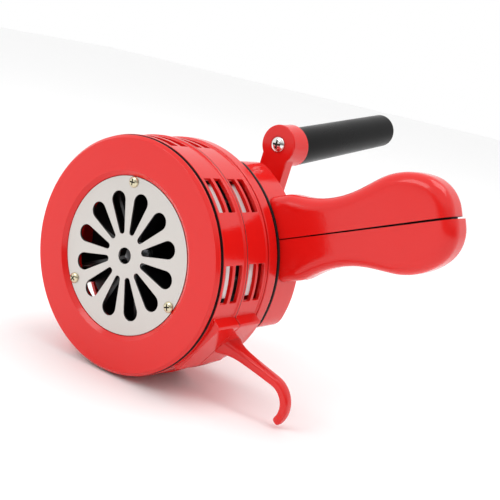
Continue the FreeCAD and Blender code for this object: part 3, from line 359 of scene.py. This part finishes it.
stainless = metal("stainless", (0.6, 0.57, 0.54), 0.3, 0.42, 0.00002)
PETALS, PETAL_INNER, PETAL_OUTER, INNER_HALF, OUTER_HALF = 12, 10.9, 32.2, 1.6, 4.4
inner_end, outer_end = PETAL_INNER + INNER_HALF, PETAL_OUTER - OUTER_HALF
lean = math.asin((OUTER_HALF - INNER_HALF) / (outer_end - inner_end))
petal = []
for middle, radius, first in ((outer_end, OUTER_HALF, -1), (inner_end, INNER_HALF, 1)):
    sweep = math.pi + 2 * lean * (1 if first < 0 else -1)
    centre = 0 if first < 0 else math.pi
    for number in range(17):
        angle = centre - sweep / 2 + sweep * number / 16
        petal.append(Vector((middle + radius * math.cos(angle), radius * math.sin(angle))))
GRILLE_FRONT, GRILLE_THICK = 1.8, 1
GRILLE_SCREWS, GRILLE_SCREW_CIRCLE = (72.5, 192.5, 312.5), 36.5
screw_places = []
for angle in GRILLE_SCREWS:
    turn = math.radians(angle)
    screw_places.append((GRILLE_SCREW_CIRCLE * math.cos(turn), GRILLE_SCREW_CIRCLE * math.sin(turn)))
grille_holes = [circle(1.55, 24, place) for place in screw_places]
grille_outlines = [circle(SEAT - 0.4, 180), circle(4.05, 48), *grille_holes]
grille_outlines += [spun(petal, 360 * number / PETALS) for number in range(PETALS)]
grille = plate("grille", grille_outlines, GRILLE_FRONT, GRILLE_THICK, 0.1)
finished("punched_grille", [grille], stainless, "body", ["grille_plate"])

# Grille screws: three steel pan heads with cross recesses, zinc plated and passivated yellow.
# They hold the grille in the cover's seat.
zinc = metal("yellow_zinc", (0.66, 0.60, 0.42), 0.2, 0.35)
recess_dark = painted("recess_shadow", (0.05, 0.045, 0.035), 0.5, 0.7)


def worked(mesh, tools, operation="DIFFERENCE"):
    """The mesh with the tools' solids taken away or joined on."""
    blank = bpy.data.objects.new("blank", mesh)
    bpy.context.scene.collection.objects.link(blank)
    helpers = [blank]
    for tool in tools:
        helper = bpy.data.objects.new("tool", tool)
        bpy.context.scene.collection.objects.link(helper)
        helpers.append(helper)
        step = blank.modifiers.new("work", "BOOLEAN")
        step.operation = operation
        step.solver = "EXACT"
        step.object = helper
        step.material_mode = "TRANSFER"
    graph = bpy.context.evaluated_depsgraph_get()
    result = bpy.data.meshes.new_from_object(blank.evaluated_get(graph))
    for helper in helpers:
        bpy.data.objects.remove(helper)
    return result


def block(name, low, high):
    """A plain block between two corners."""
    form = bmesh.new()
    bmesh.ops.create_cube(form, size=1)
    size = Vector(high) - Vector(low)
    for vert in form.verts:
        vert.co = Vector(low) + Vector(((vert.co.x + 0.5) * size.x, (vert.co.y + 0.5) * size.y,
                                        (vert.co.z + 0.5) * size.z))
    return meshed(name, form)


def cross_screw(metal_face, head, height, shank, length, turn=20):
    """A pan-head screw along Y: its head out towards -Y from y = 0, its shank inward."""
    top = -height
    outline = rounded([(top, 0, 0), (top, head * 0.55, head * 0.5), (top * 0.45, head, head * 0.28),
                       (0, head, 0.1), (0, shank, 0), (length, shank, 0.3), (length, 0, 0)])
    mesh = turned("screw", outline, 40)
    mesh.materials.append(metal_face)
    slots = []
    for across, along in ((head * 0.58, head * 0.13), (head * 0.13, head * 0.58)):
        slot = block("slot", (-across, top - 1, -along), (across, top + height * 0.62, along))
        slot.transform(Matrix.Rotation(math.radians(turn), 4, "Y"))
        slot.materials.append(recess_dark)
        slots.append(slot)
    return worked(mesh, slots)


def screws(name, spots, metal_face, sizes, body, replaced):
    """Like screws at spots, each a place and how it is turned from facing -Y, as one piece."""
    row = []
    for number, (place, facing) in enumerate(spots):
        mesh = cross_screw(metal_face, *sizes, turn=20 + 37 * number)
        mesh.transform(Matrix.Translation(place) @ facing)
        row.append(mesh)
    return finished(name, row, metal_face, body, replaced, 40, recess_dark)


facing_front, facing_back = Matrix.Identity(4), Matrix.Rotation(math.pi, 4, "X")
grille_spots = [((across, GRILLE_FRONT, up), facing_front) for across, up in screw_places]
screws("zinc_grille_screws", grille_spots, zinc, (2.75, 1.4, 1.5, 4), "body", ["grille_screws"])


# Drum castings: two die-cast rings that meet at a ribbed joint. Rows of side windows pierce them,
# and a narrow neck in front carries the cover. A pad spans both, and the rear half carries the hook.
def pierced_wall(name, stations, window_cells, windows, half):
    """A ring wall as a grid of cells, open in some cells at each window.

    A station is (outer y, outer radius, inner y, inner radius). window_cells are the open cells
    between stations, by the number of the station before.
    """
    edges = set()
    for middle in windows:
        for number in range(9):
            edges.add(round(middle - half + 2 * half * number / 8, 4))
    for middle, following in zip(windows, windows[1:] + [windows[0] + 360]):
        gap = following - middle - 2 * half
        count = max(2, math.ceil(gap / 2.2))
        for number in range(1, count):
            edges.add(round(middle + half + gap * number / count, 4))
    angles = sorted({round(angle % 360, 4) for angle in edges})
    is_open = []
    for number, angle in enumerate(angles):
        following = angles[(number + 1) % len(angles)] + (360 if number + 1 == len(angles) else 0)
        middle = (angle + following) / 2
        is_open.append(any(abs((middle - window + 180) % 360 - 180) < half for window in windows))
    form = bmesh.new()
    outer, inner = [], []
    for angle in angles:
        across, up = math.cos(math.radians(angle)), math.sin(math.radians(angle))
        outer.append([form.verts.new((r * across, y, r * up)) for y, r, _, _ in stations])
        inner.append([form.verts.new((r * across, y, r * up)) for _, _, y, r in stations])

    def solid(cell, spot):
        return 0 <= cell < len(stations) - 1 and not (cell in window_cells and is_open[spot % len(angles)])

    def face(*corners):
        form.faces.new(corners)

    for spot in range(len(angles)):
        near, far = spot, (spot + 1) % len(angles)
        for cell in range(len(stations) - 1):
            if not solid(cell, spot):
                continue
            face(outer[near][cell], outer[near][cell + 1], outer[far][cell + 1], outer[far][cell])
            if stations[cell][2:] != stations[cell + 1][2:]:
                face(inner[near][cell], inner[far][cell], inner[far][cell + 1], inner[near][cell + 1])
            if not solid(cell, spot - 1):
                face(outer[near][cell], inner[near][cell], inner[near][cell + 1], outer[near][cell + 1])
            if not solid(cell, spot + 1):
                face(outer[far][cell], outer[far][cell + 1], inner[far][cell + 1], inner[far][cell])
            if not solid(cell - 1, spot):
                face(outer[near][cell], outer[far][cell], inner[far][cell], inner[near][cell])
            if not solid(cell + 1, spot):
                face(outer[near][cell + 1], inner[near][cell + 1],
                     inner[far][cell + 1], outer[far][cell + 1])
    bmesh.ops.remove_doubles(form, verts=form.verts, dist=1e-5)
    bmesh.ops.recalc_face_normals(form, faces=form.faces)
    return meshed(name, form)


def eased(mesh, width, segments=2, angle=35):
    """The mesh with its sharp edges rounded over."""
    blank = bpy.data.objects.new("blank", mesh)
    bpy.context.scene.collection.objects.link(blank)
    easing = blank.modifiers.new("ease", "BEVEL")
    easing.width = width
    easing.segments = segments
    easing.limit_method = "ANGLE"
    easing.angle_limit = math.radians(angle)
    graph = bpy.context.evaluated_depsgraph_get()
    result = bpy.data.meshes.new_from_object(blank.evaluated_get(graph))
    bpy.data.objects.remove(blank)
    return result


DRUM, BORE, RIB = 59.5, 57.5, 60.2
WINDOWS, WINDOW_PITCH, WINDOW_PHASE, WINDOW_HALF = 8, 42, -19.2, 17.7 / 2
window_places = [WINDOW_PHASE + WINDOW_PITCH * number for number in range(WINDOWS)]
front_stations = [
    (0.8, NECK, 0.8, NECK_INSIDE), (2, NECK, 2, NECK_INSIDE), (3.6, NECK, 3.6, NECK_INSIDE),
    (3.6, DRUM, 4.8, NECK_INSIDE), (4.6, DRUM, 4.8, BORE), (5.4, DRUM, 5.4, BORE), (10.6, DRUM, 10.6, BORE),
    (12.9, DRUM, 12.9, BORE), (18.1, DRUM, 18.1, BORE), (19.4, DRUM, 19.5, BORE), (20, RIB, 19.5, BORE + 1),
    (21.15, RIB, 21.15, BORE + 1)]
rear_stations = [
    (21.45, RIB, 19.5, BORE + 1), (22.5, RIB, 19.5, BORE), (23.1, DRUM, 23.1, BORE),
    (29.5, DRUM, 29.5, BORE), (31.5, DRUM, 31.5, BORE), (36.3, DRUM, 36.3, BORE), (37.4, DRUM, 37.4, BORE),
    (37.9, DRUM + 0.5, 37.9, BORE), (38.7, DRUM + 0.5, 38.7, BORE), (39.15, DRUM, 39.15, BORE)]
front_wall = eased(pierced_wall("front_wall", front_stations, (1, 5, 7), window_places, WINDOW_HALF), 0.28)
rear_wall = eased(pierced_wall("rear_wall", rear_stations, (2, 4), window_places, WINDOW_HALF), 0.28)

PAD_ANGLE, PAD_REACH, PAD_ABOVE, PAD_BELOW, PAD_SINK = -57, 61, 22, 12, 58.4
top_end = math.asin(PAD_ABOVE / PAD_SINK)
low_end = math.asin(PAD_BELOW / PAD_SINK)
pad_corners = [(PAD_REACH, -PAD_BELOW, 2), (PAD_REACH, PAD_ABOVE, 1.2)]
for number in range(13):
    bend = top_end - (top_end + low_end) * number / 12
    pad_corners.append((PAD_SINK * math.cos(bend), PAD_SINK * math.sin(bend), 0))
pad_outline = spun(rounded(pad_corners), PAD_ANGLE)
front_pad = plate("front_pad", [pad_outline], 4.8, 16.3, 0.3)
rear_pad = plate("rear_pad", [pad_outline], 21.5, 16.8, 0.3)
# The pads' faces at their parting, and the wall faces at the neck under the cover, at the rib's parting and
# at the rear edge, take the shade paint: painted shade for these dark gaps.
for pad, parting in ((front_pad, 21.1), (rear_pad, 21.5)):
    for face in pad.polygons:
        if abs(face.center.y - parting) < 0.02:
            face.material_index = 1
for wall, shaded_bands in ((front_wall, ((0, 3.8, DRUM - 0.28), (21.1, 21.3, RIB))),
                        (rear_wall, ((21.3, 21.5, RIB), (39.1, 39.3, DRUM)))):
    for face in wall.polygons:
        reach = math.hypot(face.center.x, face.center.z)
        if any(low < face.center.y < high and reach < edge for low, high, edge in shaded_bands):
            face.material_index = 1
finished("front_drum_casting", [front_wall, front_pad], enamel, "body", ["front_casing"],
         second=shade_paint)

HOOK_X, HOOK_Z, HOOK_RADIUS, HOOK_PLANE = 55.4, -76, 11.3, 30
hook_start, hook_end = math.radians(54), math.radians(-58)
hook_stations = []
arm_line = Vector((math.sin(hook_start), -math.cos(hook_start)))
arm_end = Vector((HOOK_X + HOOK_RADIUS * math.cos(hook_start), HOOK_Z + HOOK_RADIUS * math.sin(hook_start)))
HOOK_ARM = ((-33, 8.2, 5.6), (-31.5, 8.0, 5.2), (-29.5, 7.0, 4.4), (-27, 5.6, 3.6),
            (-24, 4.5, 3.1), (-20, 3.8, 2.8), (-14, 3.3, 2.65), (-7, 3.0, 2.55))
for along, half_width, half_thick in HOOK_ARM:
    hook_stations.append((arm_end + arm_line * along, arm_line, half_width, half_thick))
for number in range(15):
    share = number / 14
    angle = hook_start + (hook_end - hook_start) * share
    spot = Vector((HOOK_X + HOOK_RADIUS * math.cos(angle), HOOK_Z + HOOK_RADIUS * math.sin(angle)))
    heading = Vector((math.sin(angle), -math.cos(angle)))
    hook_stations.append((spot, heading, 2.9 - 0.4 * share, 2.5 - 0.3 * share))
tip, heading, half_width, half_thick = hook_stations[-1]
for ahead, shrink in ((0.8, 0.93), (1.4, 0.75), (1.8, 0.45)):
    hook_stations.append((tip + heading * ahead, heading, half_width * shrink, half_thick * shrink))


def lofted(name, sections, points=28, square=3.2):
    """A bar through sections (place, heading, half width along Y, half thickness), with flat-sided
    rounded cross sections and closed ends."""
    form = bmesh.new()
    rings = []
    for place, along, half_wide, half_deep in sections:
        side = Vector((-along.y, along.x))
        ring = []
        for number in range(points):
            angle = 2 * math.pi * number / points
            c, s = math.cos(angle), math.sin(angle)
            u = math.copysign(abs(c) ** (2 / square), c) * half_wide
            v = math.copysign(abs(s) ** (2 / square), s) * half_deep
            ring.append(form.verts.new((place.x + side.x * v, HOOK_PLANE + u, place.y + side.y * v)))
        rings.append(ring)
    for ring, beyond in zip(rings, rings[1:]):
        for number in range(points):
            following = (number + 1) % points
            form.faces.new((ring[number], ring[following], beyond[following], beyond[number]))
    form.faces.new(rings[0])
    form.faces.new(rings[-1])
    bmesh.ops.recalc_face_normals(form, faces=form.faces)
    return meshed(name, form)


finished("rear_drum_casting", [rear_wall, rear_pad, lofted("hook", hook_stations)], enamel, "body",
         ["rear_casing"], second=shade_paint)

# Rear flange: a turned red casting that closes the drum and carries both bearings in its hub.
# Four screws pull it onto the drum from behind.
FLANGE, FLANGE_FRONT, FLANGE_BACK = 60.2, 39.5, 47.2
flange_outline = rounded([
    (FLANGE_FRONT, FLANGE, 0.6), (FLANGE_BACK, FLANGE, 1.6), (FLANGE_BACK, 46, 0.4), (42.5, 46, 0.4),
    (42.5, 11, 0.4), (46.6, 11, 0.4), (46.6, 7.5, 0.2), (36.1, 7.5, 0.2), (36.1, 11, 0.4),
    (FLANGE_FRONT, 11, 0.4)])
finished("enamelled_flange", [turned("flange", flange_outline)], enamel, "body", ["rear_flange"])

# Gear housing: a cast cup behind the flange with flat top and bottom, the crank's boss on its back
# and a lug on its side that the handle's halves clamp.
HOUSING, HOUSING_FLAT, HOUSING_WALL, HOUSING_NECK = 59.5, 42.7, 2.4, 56.8
HOUSING_START, HOUSING_END, HOUSING_FLOOR = 49.2, 68, 65


def flattened(radius, flat, corner):
    """A circle cut by two flats above and below, its four corners rounded."""
    meet = math.asin(flat / radius)
    clear = math.radians(5.5)
    corners = []
    for side in (0, math.pi):
        corners.append((radius * math.cos(side - meet), radius * math.sin(side - meet), corner))
        for number in range(31):
            angle = side - meet + clear + 2 * (meet - clear) * number / 30
            corners.append((radius * math.cos(angle), radius * math.sin(angle), 0))
        corners.append((radius * math.cos(side + meet), radius * math.sin(side + meet), corner))
    return rounded(corners)


cup = plate("cup", [flattened(HOUSING, HOUSING_FLAT, 9)], HOUSING_START, HOUSING_END - HOUSING_START, 0.9)
# The cup's front face, in the groove behind the flange, takes the shade paint: painted shade.
for face in cup.polygons:
    if face.center.y < HOUSING_START + 0.5:
        face.material_index = 1
cup.materials.append(enamel)
cup.materials.append(shade_paint)
cup_room = plate("cup_room", [flattened(HOUSING - HOUSING_WALL, HOUSING_FLAT - HOUSING_WALL, 7)],
                 HOUSING_START - 4, HOUSING_FLOOR - HOUSING_START + 4)
CRANK_X, CRANK_BOSS, CRANK_BORE = 20, 10, 6.5
crank_bore = turned("crank_bore", [(60, 0), (80, 0), (80, CRANK_BORE), (60, CRANK_BORE)], 64, (CRANK_X, 0))
# The cup's hollow and the crank bore take the shade paint from their cutters: painted shade inside them.
for tool in (cup_room, crank_bore):
    tool.materials.append(shade_paint)
housing_neck = plate("housing_neck", [
    flattened(HOUSING_NECK, HOUSING_FLAT, 8), flattened(HOUSING_NECK - 2, HOUSING_FLAT - 2, 7)],
    FLANGE_BACK - 0.1, HOUSING_START - FLANGE_BACK + 1.2)
# The whole neck takes the shade paint: painted shade in the groove between flange and housing.
for face in housing_neck.polygons:
    face.material_index = 1
crank_boss = turned("crank_boss", rounded([
    (67, CRANK_BORE, 0), (75.4, CRANK_BORE, 0.3), (75.4, CRANK_BOSS, 0.8), (68, CRANK_BOSS, 1.2),
    (68, CRANK_BOSS + 1.6, 0), (67, CRANK_BOSS + 1.6, 0)]), 64, (CRANK_X, 0))
LUG_NEAR, LUG_FAR, LUG_MIDDLE, LUG_HALF_DEPTH, LUG_HALF_HEIGHT = 57.4, 74, 58.6, 5, 6
handle_lug = eased(block("lug", (LUG_NEAR, LUG_MIDDLE - LUG_HALF_DEPTH, -LUG_HALF_HEIGHT),
                         (LUG_FAR, LUG_MIDDLE + LUG_HALF_DEPTH, LUG_HALF_HEIGHT)), 0.8, 3)
cup = worked(cup, [cup_room, crank_bore])
finished("enamelled_gear_housing", [cup, housing_neck, crank_boss, handle_lug], enamel, "body",
         ["gear_housing"], second=shade_paint)

# Housing screws: four plain steel pan heads on the back, into the flange.
plain_steel = metal("plain_steel", (0.52, 0.53, 0.55), 0.25, 0.4)
HOUSING_SCREWS, HOUSING_SCREW_CIRCLE = (28.6, -28.6, 208.6, 151.4), 51
housing_spots = []
for angle in HOUSING_SCREWS:
    turn = math.radians(angle)
    place = (HOUSING_SCREW_CIRCLE * math.cos(turn), HOUSING_END, HOUSING_SCREW_CIRCLE * math.sin(turn))
    housing_spots.append((place, facing_back))
screws("steel_housing_screws", housing_spots, plain_steel, (2.8, 1.8, 1.5, 24), "body", ["housing_screws"])

# Handle: two cast half shells with wide rounded sides that clamp the housing's lug. The upper one
# is a little shorter and deeper, and the seam between them opens towards the end. Both are drawn
# solid. A near-black block on the lower one fills the seam, and the seam faces and the lug pocket
# take the shade paint: painted shade in the seam.
HANDLE_FRONT, HANDLE_DEPTH, HANDLE_EDGE, SADDLE = 49.1, 19, 6.5, 59.9
BASE, WAIST, BULB, END = (67.4, 21, 10), (90.2, 13.5, 56), (130.2, 26, 34), (152.4, 14.2, 18.6)


def evenly(line, count):
    """The same line with its points spread evenly along it."""
    lengths = [0]
    for here, following in zip(line, line[1:]):
        lengths.append(lengths[-1] + (following - here).length)
    points = []
    spot = 0
    for number in range(count + 1):
        reach = lengths[-1] * number / count
        while spot < len(line) - 2 and lengths[spot + 1] < reach:
            spot += 1
        share = (reach - lengths[spot]) / (lengths[spot + 1] - lengths[spot])
        points.append(line[spot].lerp(line[spot + 1], share))
    return points


def half_shell(name, side, seam_near, seam_far, short=0.0, rise=0.0, rows=9, rises=6):
    """One half of the handle, side +1 above the seam or -1 below, as levels from front to back.
    Each level is a grid of columns from the seam up to the outline, the first along the saddle."""
    corners = [(40, seam_near, 0), (40, BASE[1] + rise, 0)]
    corners += [(x - short, z + rise, radius) for x, z, radius in (BASE, WAIST, BULB, END)]
    corners.append((END[0] - short, seam_far, 0))
    path = rounded(corners, 4)[2:]
    path = evenly([Vector((SADDLE, path[0].y)), *path], 84)
    foot = math.sqrt(SADDLE ** 2 - seam_near ** 2)
    rounding = [(HANDLE_EDGE * (1 - math.sin(math.pi / 2 * n / rows)),
                 HANDLE_EDGE * (1 - math.cos(math.pi / 2 * n / rows))) for n in range(rows + 1)]
    levels = [(inset, HANDLE_FRONT + y) for inset, y in rounding]
    levels += [(inset, HANDLE_FRONT + HANDLE_DEPTH - y) for inset, y in reversed(rounding)]
    last = len(path) - 1
    form = bmesh.new()
    grids = []
    for inset, y in levels:
        tops = []
        for number, point in enumerate(path):
            along = (path[min(number + 1, last)] - path[max(number - 1, 0)]).normalized()
            if number == last:
                along = Vector((0, -1))
            tops.append(point + Vector((along.y, -along.x)) * inset)
        tops[0].x = math.sqrt(SADDLE ** 2 - tops[0].y ** 2)
        grid = []
        for number, top in enumerate(tops):
            share = number / last
            base = Vector((foot + (tops[-1].x - foot) * share, seam_near + (seam_far - seam_near) * share))
            column = []
            for rung in range(rises + 1):
                spot = base + (top - base) * rung / rises
                if number == 0:
                    spot.x = math.sqrt(SADDLE ** 2 - spot.y ** 2)
                column.append(spot)
            grid.append(column)
        grids.append((y, grid))
    sheets = []
    for level, (y, grid) in enumerate(grids):
        sheet = {}
        for number, column in enumerate(grid):
            for rung, spot in enumerate(column):
                inner = 0 < number < last and 0 < rung < rises
                if inner and 0 < level < len(grids) - 1 or number == last and rung:
                    continue
                sheet[number, rung] = form.verts.new((spot.x, y, spot.y * side))
        for rung in range(1, rises + 1):
            sheet[last, rung] = sheet[last, 0]
        sheets.append(sheet)
    for sheet in (sheets[0], sheets[-1]):
        for number in range(last):
            for rung in range(rises):
                around = [sheet[number, rung], sheet[number + 1, rung], sheet[number + 1, rung + 1],
                          sheet[number, rung + 1]]
                form.faces.new(list(dict.fromkeys(around)))
    rim = [(0, rung) for rung in range(rises + 1)] + [(number, rises) for number in range(1, last + 1)]
    seam = [(number, 0) for number in range(last, -1, -1)]
    # The seam faces take the second slot, the shade paint: painted shade in the seam.
    for keys, hidden in ((rim, 0), (seam, 1)):
        for sheet, beyond in zip(sheets, sheets[1:]):
            for here, following in zip(keys, keys[1:]):
                side_face = form.faces.new((sheet[here], sheet[following], beyond[following], beyond[here]))
                side_face.material_index = hidden
    bmesh.ops.recalc_face_normals(form, faces=form.faces)
    mesh = meshed(name, form)
    mesh.materials.append(enamel)
    mesh.materials.append(shade_paint)
    return mesh


lug_room = block("lug_room", (50, LUG_MIDDLE - LUG_HALF_DEPTH - 0.1, -LUG_HALF_HEIGHT - 0.2),
                 (LUG_FAR + 0.3, LUG_MIDDLE + LUG_HALF_DEPTH + 0.1, LUG_HALF_HEIGHT + 0.2))
# The lug pocket cut in the shells takes the shade paint from this cutter: painted shade.
lug_room.materials.append(shade_paint)
upper_shell = worked(half_shell("upper_shell", 1, 0.4, 0.9, 1.3, 1.1), [lug_room])
lower_shell = half_shell("lower_shell", -1, 0.15, 0.15)
HANDLE_SCREWS, SCREW_SEAT = (64.5, 98, 122), -14
screw_wells = []
for x in HANDLE_SCREWS:
    well = turned("well", [(0, 0), (30, 0), (30, 3.2), (0, 3.2)], 40)
    well.materials.append(enamel)
    well.transform(Matrix.Translation((x, LUG_MIDDLE, SCREW_SEAT)) @ Matrix.Rotation(-math.pi / 2, 4, "X"))
    screw_wells.append(well)
lower_shell = worked(lower_shell, [lug_room.copy(), *screw_wells])
finished("upper_handle_shell", [upper_shell], enamel, "body", ["handle_upper_shell"],
         second=shade_paint)
# A near-black block fills the seam between the shells: painted shade.
seam_shade = block("seam_shade", (74.6, 55, -2.5), (149, 62, 3))
for face in seam_shade.polygons:
    face.material_index = 1
finished("lower_handle_shell", [lower_shell, seam_shade], enamel, "body", ["handle_lower_shell"],
         second=shade_paint)
facing_down = Matrix.Rotation(math.pi / 2, 4, "X")
screws("steel_handle_screws", [((x, LUG_MIDDLE, SCREW_SEAT), facing_down) for x in HANDLE_SCREWS],
       plain_steel, (3.1, 2.2, 1.75, 23.5), "body", ["handle_screws"])

# Crank arm: a die-cast arm, clamped on the crank's shaft by a nut. Its far boss is faced off at a
# slant, so that the knob leans outward, and is sunk in front for the spindle's screw.
CRANK_ANGLE, CRANK_RADIUS, ARM_START, ARM_THICK, ARM_HALF = 62.2, 57.6, 77, 7, 8
HUB, HUB_DEPTH, BOSS, BOSS_DEPTH, DRAFT = 10, 9, 10.4, 13.5, math.tan(math.radians(3))
SPLAY = math.radians(9.35)
crank_place = Matrix.Translation((CRANK_X, 0, 0)) @ Matrix.Rotation(math.radians(-CRANK_ANGLE), 4, "Y")
arm_corners = []
for centre, radius, first in ((CRANK_RADIUS, BOSS, -1), (0, HUB, 1)):
    reach = math.pi - math.asin(ARM_HALF / radius)
    for number in range(37):
        angle = -reach + 2 * reach * number / 36
        arm_corners.append((centre - first * radius * math.cos(angle),
                            first * -radius * math.sin(angle), 0))
arm_plate = plate("arm_plate", [rounded(arm_corners)], ARM_START, ARM_THICK, 0.6)
arm_hub = turned("arm_hub", rounded([
    (ARM_START + 3, 0, 0), (ARM_START + 3, HUB - 0.1, 0),
    (ARM_START + HUB_DEPTH, HUB + 0.3, 0.7), (ARM_START + HUB_DEPTH, 0, 0)]), 90)
arm_boss = turned("arm_boss", rounded([
    (ARM_START + 3, 0, 0), (ARM_START + 3, BOSS - 0.1, 0),
    (ARM_START + BOSS_DEPTH, BOSS + BOSS_DEPTH * DRAFT, 0.8), (ARM_START + BOSS_DEPTH, 0, 0)]), 90,
    (CRANK_RADIUS, 0))
for vert in arm_boss.vertices:
    share = (vert.co.y - ARM_START) / BOSS_DEPTH
    vert.co.y -= (vert.co.x - CRANK_RADIUS + 1) * math.tan(SPLAY) * share
crank_arm = worked(arm_plate, [arm_hub, arm_boss], "UNION")
screw_sink = turned("screw_sink", [(70, 0), (ARM_START + 0.4, 0), (ARM_START + 0.4, 4.7), (70, 4.7)], 48,
                    (CRANK_RADIUS, 0))
shaft_hole = turned("shaft_hole", [(70, 0), (90, 0), (90, 4.05), (70, 4.05)], 48)
crank_arm = worked(crank_arm, [shaft_hole, screw_sink])
crank_arm.transform(crank_place)
finished("enamelled_crank_arm", [crank_arm], enamel, "crank", ["crank_arm"])

# Spindle screw: a bright nickel pan head in the arm's far boss that holds the knob's bent spindle.
nickel = metal("bright_nickel", (0.80, 0.79, 0.77), 0.08, 0.16, 0.000004)
screw_place = crank_place @ Vector((CRANK_RADIUS, ARM_START + 0.4, 0))
screws("nickel_spindle_screw", [(screw_place, facing_front)], nickel, (4.1, 2.1, 1.9, 9), "crank",
       ["spindle_screw"])

# Knob: a black moulded plastic sleeve that turns on the leaning spindle, with a plug in its far end.
black_plastic = painted("black_plastic", (0.003, 0.003, 0.0032), 0.26, 0.36, 1500, 0.00002)
black_plastic.node_tree.nodes["Principled BSDF"].inputs["Specular IOR Level"].default_value = 0.1
KNOB, KNOB_FAR, KNOB_LENGTH, KNOB_GAP = 10, 9.4, 93, 0.4
knob_end = KNOB_GAP + KNOB_LENGTH
knob_outline = rounded([
    (KNOB_GAP, 2.98, 0), (knob_end - 8, 2.98, 0), (knob_end - 8, 5.6, 0), (knob_end, 5.6, 0.3),
    (knob_end, KNOB_FAR, 2.4), (KNOB_GAP, KNOB, 1.4)])
knob_cap_outline = rounded([(knob_end - 3, 0, 0), (knob_end - 0.1, 0, 0), (knob_end - 0.1, 5.5, 0.4),
                            (knob_end - 3, 5.5, 0)])
knob_place = (crank_place @ Matrix.Translation((CRANK_RADIUS - 1, ARM_START + BOSS_DEPTH, 0))
              @ Matrix.Rotation(-SPLAY, 4, "Z"))
for name, outline, node in (("black_knob_sleeve", knob_outline, "knob_sleeve"),
                            ("black_knob_plug", knob_cap_outline, "knob_cap")):
    mesh = turned(name, outline, 96)
    mesh.transform(knob_place)
    finished(name, [mesh], black_plastic, "knob", [node])

# Rotor: a cast and turned aluminium wheel. Its rim is bright where the lathe cut it; inside the rim
# its ports and vanes are near-black and not metallic, a painted shade for the unlit inside of the drum.
SHADE_EDGE, RIM_START = 54.6, 55.4
rotor_alloy = metal("rotor_alloy", (0.72, 0.72, 0.71), 0.25, 0.4, 0.00002)
rotor_tree = rotor_alloy.node_tree
rotor_shader = rotor_tree.nodes["Principled BSDF"]
rotor_point = rotor_tree.nodes.new("ShaderNodeTexCoord")
across_axis = rotor_tree.nodes.new("ShaderNodeVectorMath")
across_axis.operation = "MULTIPLY"
across_axis.inputs[1].default_value = (1, 0, 1)
from_axis = rotor_tree.nodes.new("ShaderNodeVectorMath")
from_axis.operation = "DISTANCE"
from_axis.inputs[1].default_value = (AXIS.x, 0, AXIS.z)
# Inside the turned rim the rotor is near-black and not metallic: painted shade.
rotor_shade_mix = rotor_tree.nodes.new("ShaderNodeMix")
rotor_shade_mix.data_type = "RGBA"
rotor_shade_mix.inputs["A"].default_value = (0.012, 0.012, 0.013, 1)
rotor_shade_mix.inputs["B"].default_value = (0.78, 0.78, 0.77, 1)
rotor_tree.links.new(rotor_point.outputs["Object"], across_axis.inputs[0])
rotor_tree.links.new(across_axis.outputs["Vector"], from_axis.inputs[0])
turned_rim = remapped(rotor_tree, from_axis.outputs["Value"], SHADE_EDGE * MM, RIM_START * MM)
rotor_tree.links.new(turned_rim.outputs["Result"], rotor_shade_mix.inputs["Factor"])
rotor_tree.links.new(rotor_shade_mix.outputs["Result"], rotor_shader.inputs["Base Color"])
rotor_tree.links.new(turned_rim.outputs["Result"], rotor_shader.inputs["Metallic"])

# Running gear: steel shafts, gears, bearings, nuts and screws, and a bronze bush, all carried over.
bronze = metal("bearing_bronze", (0.55, 0.36, 0.17), 0.3, 0.45)
carried = {"steel": plain_steel, "bronze": bronze, "rotor_alloy": rotor_alloy, "red_enamel": enamel,
           "stainless": stainless, "zinc": zinc, "nickel": nickel, "knob_black": black_plastic}
slots = {part["node"]: part["material_slot"] for part in frame["record"]["subparts"]}
for name, node in nodes.items():
    node.data.materials.clear()
    node.data.materials.append(carried[slots[name]])
